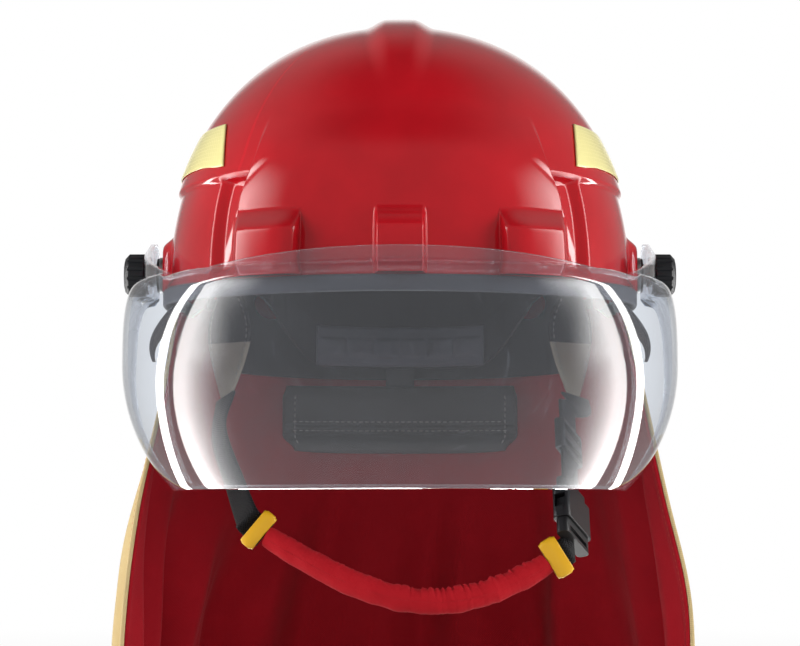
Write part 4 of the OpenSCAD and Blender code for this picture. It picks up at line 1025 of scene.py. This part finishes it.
# Down the yoke: a point, the way of its width there, and the width.
yoke = {
    "rows": [((89.6, 29, 34), (-0.1, 1, 0), 30), ((91.6, 21.5, 12), (0.3, 0.95, 0), 26),
             ((90.5, 15, -12), (0.72, 0.69, 0), 32), ((91, 12, -30), (0.75, 0.66, 0), 26),
             ((92, 9, -52), (0.75, 0.66, 0), 7)],
    "halfThick": 1.2, "thinEdge": 0.45, "stitchOut": 0.1,
}
yokeTip = np.array(yoke["rows"][-1][0], float)
flip = np.array([-1.0, 1, 1])
strapUp = np.array([0, sinDeg(strap["lean"]), cosDeg(strap["lean"])])
strapAcross = np.array([cosDeg(strap["turn"]), sinDeg(strap["turn"]) * strapUp[2],
                        -sinDeg(strap["turn"]) * strapUp[1]])
buckleAt = np.array(strap["buckle"])
webBend = buckleAt + strapUp * strap["bend"]


def buildYokes():
    rows = np.array([[*point, *unit(way), width] for point, way, width in yoke["rows"]])
    line = smoothPath(rows, 44)
    u = np.linspace(-0.5, 0.5, 15)
    way = unit(line[:, 3:6])
    face = unit(np.cross(way, unit(np.gradient(line[:, :3], axis=0))))
    grid = line[:, None, :3] + way[:, None] * (u[None] * line[:, 6:7])[..., None]
    thick = yoke["halfThick"] * (1 - yoke["thinEdge"] * np.abs(2 * u) ** 6)
    for side, sign in (("right", 1), ("left", -1)):
        flipped = np.array([sign, 1, 1])
        a = (grid + face[:, None] * thick[None, :, None]) * flipped
        b = (grid - face[:, None] * thick[None, :, None]) * flipped
        obj = slabMesh("strapYoke." + side, *((a, b) if sign < 0 else (b, a)))
        place(obj, "helmet", finishes["yoke"], ["strap_yoke_" + side])
        for k, col in enumerate((1, -2)):
            for label, skin, out in (("In", a, face * flipped), ("Out", b, -face * flipped)):
                path = skin[2:-4, col] + out[2:-4] * yoke["stitchOut"]
                obj = stitchMesh("yokeStitch%s.%s.%d" % (label, side, k + 1), path, out[2:-4], "pad")
                place(obj, "helmet", finishes["threadPale"])


sleeve = {
    "left": (-66, -67, -125), "right": (72.6, -71.5, -138), "tall": 13, "thick": 10, "forward": 16,
    "drop": 24, "gathers": 9, "gather": 0.03, "ripples": 31, "ripple": 0.0675, "wrinkle": 0.22,
    "seamTurn": 262, "seam": 0.12, "seamColumns": (50, 44), "stitchOut": 0.12,
}
# The profile gives how far a keeper's skin stands off its size, and where along it, as a share of its length.
loop = {
    "seat": 1.1, "length": 9, "leftShorter": 1.5, "deep": 8, "wider": 6, "tiltLeft": 40, "tiltRight": -32,
    "squareness": 0.45,
    "profile": ((-0.35, -0.5), (-0.35, -0.42), (0.35, -0.3), (0.35, 0.3), (-0.35, 0.42), (-0.35, 0.5),
                (-1.8, 0.5), (-1.8, -0.5)),
}


def loopFrame(tilt):
    return np.array([cosDeg(tilt), 0, -sinDeg(tilt)]), np.array([sinDeg(tilt), 0, cosDeg(tilt)])


wayLeft, acrossLeft = loopFrame(loop["tiltLeft"])
wayRight, acrossRight = loopFrame(loop["tiltRight"])
loopLeftAt = np.array(sleeve["left"]) - (loop["length"] / 2 + loop["seat"]) * wayLeft
loopRightAt = np.array(sleeve["right"]) + (loop["length"] / 2 + loop["seat"]) * wayRight


def buildWebbing():
    s = strap
    # The right side is straight as far as the slider travels, and bends just above.
    above = mix(yokeTip, webBend, 0.5) + [4, -1, -1]
    corner = webBend + strapUp * s["clear"]
    points = [yokeTip + [0.4, -2.2, 0.5], above, corner + s["clear"] * unit(above - corner)]
    points += [corner - strapUp * d for d in (0, s["clear"] - 0.5, 2 * s["clear"], 5 * s["clear"])]
    points += [buckleAt + strapUp * s["bodyEnd"]]
    ways = [(0.75, 0.6, -0.2), (0.6, 0.6, -0.35)] + [strapAcross] * 6
    obj = ribbonMesh("webbingRight", points, ways, s["wide"], s["thick"], 110, 11, square=False)
    place(obj, "helmet", finishes["web"], ["webbing_right"])

    tip = yokeTip * flip
    points = [tip + [0, -2.2, 0.5], tip + [-2, -22, -20], tip + [8, -50, -46],
              loopLeftAt - 9 * wayLeft + [0.4, 1, 1.6], loopLeftAt - 5 * wayLeft, loopLeftAt + 4.2 * wayLeft]
    ways = [(0.6, -0.6, 0.2), (0.55, -0.75, 0.5), (0.55, -0.55, 0.6), (0.6, -0.2, 0.75)] + [acrossLeft] * 2
    obj = ribbonMesh("webbingLeft", points, ways, s["endWide"], s["thick"], 110, 11)
    place(obj, "helmet", finishes["web"], ["webbing_left"])

    top = buckleAt - strapUp * s["tongueEnd"]
    bend = loopRightAt + (loop["length"] / 2 + 1.4) * wayRight
    points = [top, mix(top, bend, 0.5), bend, loopRightAt, loopRightAt - loop["length"] / 2 * wayRight]
    ways = [-strapAcross, mix(-strapAcross, acrossRight, 0.45), acrossRight, acrossRight, acrossRight]
    obj = ribbonMesh("webbingChin", points, ways, s["endWide"], s["thick"], 50, 11)
    place(obj, "chin_tongue", finishes["web"], ["chin_webbing"])


def buildLoops():
    s = loop
    turn = np.linspace(0, 360, 72, endpoint=False)
    c, d = (signedPower(wave, s["squareness"])[:, None] for wave in (cosDeg(turn), sinDeg(turn)))
    for name, at, way, across, long, body in (
            ("left", loopLeftAt, wayLeft, acrossLeft, s["length"] - s["leftShorter"], "helmet"),
            ("right", loopRightAt, wayRight, acrossRight, s["length"], "chin_tongue")):
        rings = []
        for grow, shift in s["profile"]:
            wide, deep = (strap["endWide"] + s["wider"]) / 2 + grow, s["deep"] / 2 + grow
            rings.append(at + c * wide * across + d * deep * np.array([0, 1, 0]) + way * long * shift)
        obj = hoopMesh("loopRubber." + name, np.array(rings))
        place(obj, body, finishes["loop"], ["loop_" + name])


def sleeveAt(u):
    a, b = np.array(sleeve["left"], float), np.array(sleeve["right"], float)
    p = mix(a, b, u[:, None])
    p[:, 1] -= sleeve["forward"] * sinDeg(180 * u)
    p[:, 2] -= sleeve["drop"] * np.maximum(0, sinDeg(180 * u ** 1.12)) ** 0.9
    return p


def buildSleeve():
    s = sleeve
    u = np.linspace(0, 1, 300)
    centre = sleeveAt(u)
    way = unit(np.gradient(centre, axis=0))
    side = unit(np.cross(way, [0, 0, 1]))
    up = np.cross(side, way)
    turn = np.linspace(0, 360, 72, endpoint=False)
    c, d = cosDeg(turn), sinDeg(turn)
    puff = 0.82 + 0.18 * np.maximum(0, sinDeg(180 * u)) ** 0.5
    puff = puff * (1 + s["gather"] * sinDeg(360 * s["gathers"] * u) * ease(0.2, 0.5, u))
    wrinkle = SoftNoise(21, 9).at(stack(u * 260, 0, 0))
    fade = mix(0.3, 1, ease(0.4, 0.62, u)) * ease(0, 0.06, u) * ease(1, 0.94, u)
    ripple = s["ripple"] * np.sin(u * 2 * np.pi * s["ripples"] + 2.2 * wrinkle) * fade
    radial = puff[:, None] + ripple[:, None] * (0.25 + clamp01(d)[None] ** 2)  # strongest on top
    radial = radial - s["seam"] * dip(turn - s["seamTurn"], 10)[None]
    rings = centre[:, None] + side[:, None] * (c * s["thick"] / 2 * radial)[..., None]
    rings = rings + up[:, None] * (d * s["tall"] / 2 * radial)[..., None]
    rings = rings + s["wrinkle"] * SoftNoise(22, 12).at(rings)[..., None] * unit(rings - centre[:, None])
    obj = tubeMesh("chinSleeveCloth", rings)
    place(obj, "helmet", finishes["sleeve"], ["chin_sleeve"])
    out = unit(rings - centre[:, None])[8:-8]
    for k, col in enumerate(s["seamColumns"]):
        line = rings[8:-8, col] + out[:, col] * s["stitchOut"]
        obj = stitchMesh("chinSleeveSeam.%d" % (k + 1), line, out[:, col], "sleeve")
        place(obj, "helmet", finishes["thread"])


buildYokes()
buildWebbing()
buildLoops()
buildSleeve()
print("chin strap built")


# Ear flaps hang from the trim and flare outward to a point. Turns are given at their top and bottom.
ear = {"top": -7.1, "low": -34, "front": (73, 82), "rear": (103, 88), "flare": 0.085, "inset": 2.5,
       "edge": 1.5, "crown": 2.5, "channels": 4, "channel": 0.5, "channelWide": 0.09}


def buildEarFlaps():
    s = ear
    u, v = np.meshgrid(np.linspace(0, 1, 40), np.linspace(0, 1, 40))
    turn = mix(mix(*s["front"], v), mix(*s["rear"], v), u)
    z = mix(s["top"], s["low"], v)
    flare = 1 + s["flare"] * sinDeg(120 * v)
    quilt = s["channel"] * dip((u * s["channels"]) % 1 - 0.5, s["channelWide"])
    thick = s["edge"] + (s["crown"] - quilt) * np.abs(sinDeg(180 * u)) * sinDeg(150 * v + 30)
    brim = domeAt(turn, 0)

    def at(d, sign):
        return stack(((brim[..., 0] - d * sinDeg(turn)) * flare - s["inset"]) * sign, brim[..., 1] * flare, z)

    for side, sign in (("right", 1), ("left", -1)):
        a, b = at(0, sign), at(thick, sign)
        obj = slabMesh("earFlapCloth." + side, *((a, b) if sign < 0 else (b, a)))
        place(obj, "helmet", finishes["ear"], ["ear_flap_" + side])


# Neck curtain: a tan outer cloth over a red lining, hemmed and sewn in orange along its edges.
curtain = {
    "from": 88, "low": 230, "half": 158, "hemFrom": 62, "hemRight": 79, "mid": 30, "curl": 62, "back": 138,
    "folds": 9, "depth": 7, "broad": 5.5, "fine": 1.5, "small": 0.45, "seat": 3.8, "tape": 1.5, "gap": 0.8,
    "drop": 8.3,
    "outer": (-0.1, 1.35), "lining": (3.1, 1.65),
}
# around and tall are the cloth's own lengths, which turn a share of it into millimetres from its edge.
hem = {"around": 560, "tall": 197, "sewn": 5, "end": (7.5, 9.0), "thick": 0.5, "sunk": 0.35, "pucker": 0.28,
       "puckerWide": 2.6, "pitch": 3.4, "side": 0.009, "sideFrom": 0.25, "stitchOut": 0.15}
fineFolds = SoftNoise(31, 34)
smallFolds = SoftNoise(33, 13)
broadFolds = SoftNoise(35, 50)


def curtainAt(s, t, inward):
    # s runs round from the right front edge, t from the top to the hem; inward is how deep in the cloth.
    c = curtain
    th = mix(c["from"], 360 - c["from"], s)
    w = mix(c["hemRight"], 360 - c["hemFrom"], s)
    rim = rimAt(th)
    half = 180 - np.abs(180 - th)
    top = rim + 2.5 - (c["drop"] + 4) * (1 - ease(102, 116, half))
    z = mix(top, -c["low"], t)
    free = rim - c["drop"] - 1
    fall = np.maximum(0, (free - z) / (free + c["low"])) ** 0.75
    start = insideDome(th, rim, c["seat"] + c["tape"] + c["gap"])
    hemX = c["half"] * signedPower(sinDeg(w), 0.9)
    hemY = c["mid"] - np.where(cosDeg(w) > 0, c["curl"], c["back"]) * signedPower(cosDeg(w), 0.9)
    where = stack(hemX, hemY, z * 0.22)
    fine = c["fine"] * fineFolds.at(where) + c["small"] * smallFolds.at(where)
    wave = ease(0.05, 0.9, t) * (c["depth"] * cosDeg(360 * c["folds"] * s) + fine)
    wave = wave + c["broad"] * ease(0.15, 0.7, t) * broadFolds.at(where)
    out = unit(stack(sinDeg(w), -cosDeg(w), 0))
    x = mix(start[..., 0], hemX, fall) + (wave - inward) * out[..., 0]
    y = mix(start[..., 1], hemY, fall) + (wave - inward) * out[..., 1]
    return stack(x, y, z)


def buildCurtain():
    rows = np.concatenate([np.linspace(0, 0.2, 24)[:-1], np.linspace(0.2, 1, 60)])
    s, t = np.meshgrid(np.linspace(0, 1, 341), rows)
    edge = np.minimum(np.minimum(s, 1 - s) * hem["around"], (1 - t) * hem["tall"])
    sewn = edge - hem["sewn"]
    proud = hem["thick"] * (1 - ease(*hem["end"], edge)) - hem["sunk"] * dip(sewn, 1) * (edge < 8)
    proud = proud + hem["pucker"] * np.sin(s * hem["around"] / hem["pitch"]) * dip(sewn, hem["puckerWide"])
    for name, (faceIn, backIn), sign, finish, slot in (
            ("curtainCloth", curtain["outer"], -1, "curtain", "curtain_cloth"),
            ("curtainLining", curtain["lining"], 1, "lining", "sleeve_red")):
        face, back = curtainAt(s, t, faceIn + sign * proud), curtainAt(s, t, backIn)
        obj = mirroredSlab(name, face, back, sign < 0)
        place(obj, "helmet", finishes[finish], ["neck_curtain"])


def buildHemStitches():
    # Orange stitches a little in from the hem and the front edges, on both faces.
    low = 1 - hem["sewn"] / hem["tall"]
    along = np.linspace(hem["side"], 1 - hem["side"], 900)
    down = np.linspace(hem["sideFrom"], low, 260)
    lines = ((along, low), (hem["side"], down), (1 - hem["side"], down))
    for name, inward, sign in (("Out", curtain["outer"][0] - hem["stitchOut"], 1),
                               ("In", curtain["lining"][0] + hem["stitchOut"], -1)):
        for k, (s, t) in enumerate(lines):
            path, deeper = curtainAt(s, t, inward), curtainAt(s, t, inward + 1)
            obj = stitchMesh("hemStitch%s.%d" % (name, k + 1), path, (path - deeper) * sign, "hem")
            place(obj, "helmet", finishes["thread"])


# The tape that the curtain is sewn to, stuck inside the back of the shell.
tape = {"turn": (117, 243), "low": 1, "high": 13, "rows": 8, "thinEdge": 0.2}


def buildTape():
    th = np.linspace(*tape["turn"], 160)
    rim = rimAt(th)
    outer, inner = [], []
    for row, dz in enumerate(np.linspace(tape["low"], tape["high"], tape["rows"])):
        edge = tape["thinEdge"] if row in (0, tape["rows"] - 1) else 0
        outer.append(insideDome(th, rim + dz, curtain["seat"] + edge))
        inner.append(insideDome(th, rim + dz, curtain["seat"] + curtain["tape"] - edge))
    obj = mirroredSlab("curtainTape", np.array(outer), np.array(inner), True)
    place(obj, "helmet", finishes["web"], ["curtain_band"])


buildEarFlaps()
buildCurtain()
buildHemStitches()
buildTape()
print("ear flaps and curtain built")


# Nodes of the part that keep their own shape get softened edges and a finish.
dressing = {
    "plastic": ["liner_carrier", "carrier_brackets", "headband", "strap_clips", "rear_cradle", "nape_frame",
                "ratchet_housing", "ratchet_cover", "strap_slider", "buckle_body", "buckle_tongue",
                "friction_washer_left", "friction_washer_right"],
    "knob": ["knob_left", "knob_right", "ratchet_knob"],
    "steel": ["pivot_stud_left", "pivot_stud_right", "yoke_rivets", "ratchet_pinion"],
}
edgeSoft = {"width": 0.35, "segments": 2, "angle": 35, "weld": 0.002}


def dressNode(node, material):
    for slot in node.material_slots:
        slot.material = material
    weld = node.modifiers.new("weld", "WELD")
    weld.merge_threshold = edgeSoft["weld"] * mm
    bevel = node.modifiers.new("softEdges", "BEVEL")
    bevel.width = edgeSoft["width"] * mm
    bevel.segments = edgeSoft["segments"]
    bevel.limit_method = "ANGLE"
    bevel.angle_limit = math.radians(edgeSoft["angle"])


for finish, names in dressing.items():
    for name in names:
        dressNode(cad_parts[name], finishes[finish])
print("plastic and metal nodes dressed")


# Studio: a pale floor and a soft surround. Its broad glow and narrow strip show on both sides of the visor.
studio = {
    "floorZ": -232.5, "floor": linear(240, 240, 240), "floorWhite": 0.8, "floorFade": (0.3, 1.6),
    "light": (1.0, 0.985, 0.97, 1), "base": 0.26, "ceiling": 0.05, "ceilingLift": (50, 80), "below": 0.4,
    "belowLift": (0, 30), "glow": 6.0, "strip": 9.0, "behind": 1.0, "behindTurn": (158, 172),
    "high": (20, 38),
    "lamps": {  # x, y, z in metres, watts, width and height
        "front": (-0.2, -2.3, -0.1, 15.0, 1.6, 1.0), "left": (-1.9, -0.6, 0.25, 24.0, 1.0, 1.4),
        "right": (1.9, -0.6, 0.25, 24.0, 1.0, 1.4),
    },
}
# Where the lamps' edges show on the visor: degrees round the bowl from its middle, at four heights.
glare = {
    "heights": (-5, -40, -75, -100), "strip": (44, 54, 58, 65), "glowEnd": (41, 49, 52, 54),
    "glowFull": (38, 45.5, 48, 49), "glowFrom": (26, 33, 34, 34),
    "stripWide": 4.2, "stripSoft": 0.6, "stripHigh": (30, 38), "glowSoft": 0.9, "footFade": (28, 56),
    "footLoss": 0.7, "steps": 25, "span": (20, 240),
}


def lampLine(name, across):
    # The camera's rays are mirrored at the line on the visor, or at one some millimetres further out.
    # Returns turn minus lift and turn plus lift of where they go, in degrees: the first always grows.
    z = np.linspace(glare["heights"][-1], glare["heights"][0], glare["steps"])
    phi = np.polyval(np.polyfit(glare["heights"], glare[name], 3), z)
    flat = visor["flatFront"]
    radius = bowlRadius(z, flat)
    phi = phi + np.degrees(across / (radius * cosDeg(phi)))
    slope = bowlRadius(z + 0.5, flat) - bowlRadius(z - 0.5, flat)
    at = stack(radius * sinDeg(phi), -visor["ahead"] - radius * cosDeg(phi), z)
    out = unit(stack(sinDeg(phi), -cosDeg(phi), -slope))
    ray = unit(at - np.array([0, -camera["away"], -camera["low"]]))
    mirrored = ray - 2 * (ray * out).sum(-1, keepdims=True) * out
    lift = np.degrees(np.arcsin(mirrored[:, 2]))
    turn = np.degrees(np.arctan2(np.abs(mirrored[:, 0]), -mirrored[:, 1]))
    order = np.argsort(turn - lift)
    return (turn - lift)[order], (turn + lift)[order]


def buildSurround():
    st, g = studio, glare
    world = bpy.data.worlds.new("studio")
    world.use_nodes = True
    sky = Nodes(world.node_tree, "World")
    x, y, z = sky.split(sky.add("TexCoord", out="Generated"))
    turn = x.math("ARCTAN2", abs(x), -y) * math.degrees(1)
    lift = z.math("ARCSINE", z) * math.degrees(1)
    slant, reach = turn - lift, turn + lift
    first, size = float(g["span"][0]), float(g["span"][1] - g["span"][0])

    def edge(name, across=0.0):
        # Where a lamp's edge lies at this slant, read off its curve.
        curve = sky.add("FloatCurve", links={"Value": (slant - first) / size})
        mapping = curve.socket.node.mapping
        points = mapping.curves[0].points
        marks = [((a - first) / size, (b - first) / size) for a, b in zip(*lampLine(name, across))]
        points[0].location, points[1].location = marks[0], marks[-1]
        for mark in marks[1:-1]:
            points.new(*mark)
        for point in points:
            point.handle_type = "VECTOR"
        mapping.extend = "HORIZONTAL"
        mapping.update()
        return curve * size + first

    high = 1.0 - rise(lift, *st["high"])
    full, end, start = edge("glowFull"), edge("glowEnd"), edge("glowFrom")
    glow = ((reach - start) / (full - start)).clamped() ** 2.0
    glow = glow * (1.0 - rise(reach - end, -g["glowSoft"], g["glowSoft"])) * high
    glow = glow * (1.0 - rise(-lift, *g["footFade"]) * g["footLoss"])
    half, soft = g["stripWide"] / 2, g["stripSoft"]
    stripe = rise(reach - edge("strip", -half), -soft, soft) * (1.0 - rise(lift, *g["stripHigh"]))
    stripe = stripe * (1.0 - rise(reach - edge("strip", half), -soft, soft))
    behind = rise(turn, *st["behindTurn"]) * high
    level = glow * st["glow"] + stripe * st["strip"] + behind * (st["behind"] - st["base"])
    level = level + rise(-lift, *st["belowLift"]) * (st["below"] - st["base"])
    level = level + rise(lift, *st["ceilingLift"]) * (st["ceiling"] - st["base"]) + st["base"]
    light = sky.add("Background", links={"Color": st["light"], "Strength": level})
    white = sky.add("Background", links={"Color": (1, 1, 1, 1), "Strength": 1.0})
    seen = sky.add("LightPath", out="Is Camera Ray")
    sky.show(sky.add("MixShader", links={0: seen, 1: light, 2: white}))
    bpy.context.scene.world = world


def buildFloor():
    size, z = 30.0, studio["floorZ"] * mm
    corners = [(-size, -size, z), (size, -size, z), (size, size, z), (-size, size, z)]
    mesh = bpy.data.meshes.new("floor")
    mesh.from_pydata(corners, [], [(0, 1, 2, 3)])
    floor = bpy.data.objects.new("floor", mesh)
    bpy.context.scene.collection.objects.link(floor)
    floor.visible_glossy = False
    f = Finish("floorPale", studio["floor"], 0.9)
    seen = f.add("LightPath", out="Is Camera Ray")
    glow = f.add("Emission", links={"Color": (1, 1, 1, 1), "Strength": 1.0})
    away = f.add("VectorMath", {"operation": "LENGTH"}, {0: f.where}, out="Value")
    white = mix(studio["floorWhite"], 1.0, rise(away, *studio["floorFade"]))
    f.show(f.add("MixShader", links={0: seen * white, 1: f.body, 2: glow}))
    mesh.materials.append(f.material)


def buildLamps():
    for name, (x, y, z, watts, wide, tall) in studio["lamps"].items():
        lamp = bpy.data.lights.new(name, "AREA")
        lamp.shape = "RECTANGLE"
        lamp.size, lamp.size_y = wide, tall
        lamp.energy = watts
        obj = bpy.data.objects.new(name, lamp)
        obj.location = (x, y, z)
        obj.rotation_euler = (-Vector(obj.location)).to_track_quat("-Z", "Y").to_euler()
        obj.visible_glossy = False
        bpy.context.scene.collection.objects.link(obj)


buildSurround()
buildFloor()
buildLamps()
bpy.context.scene.view_settings.view_transform = "Standard"
print("studio built")
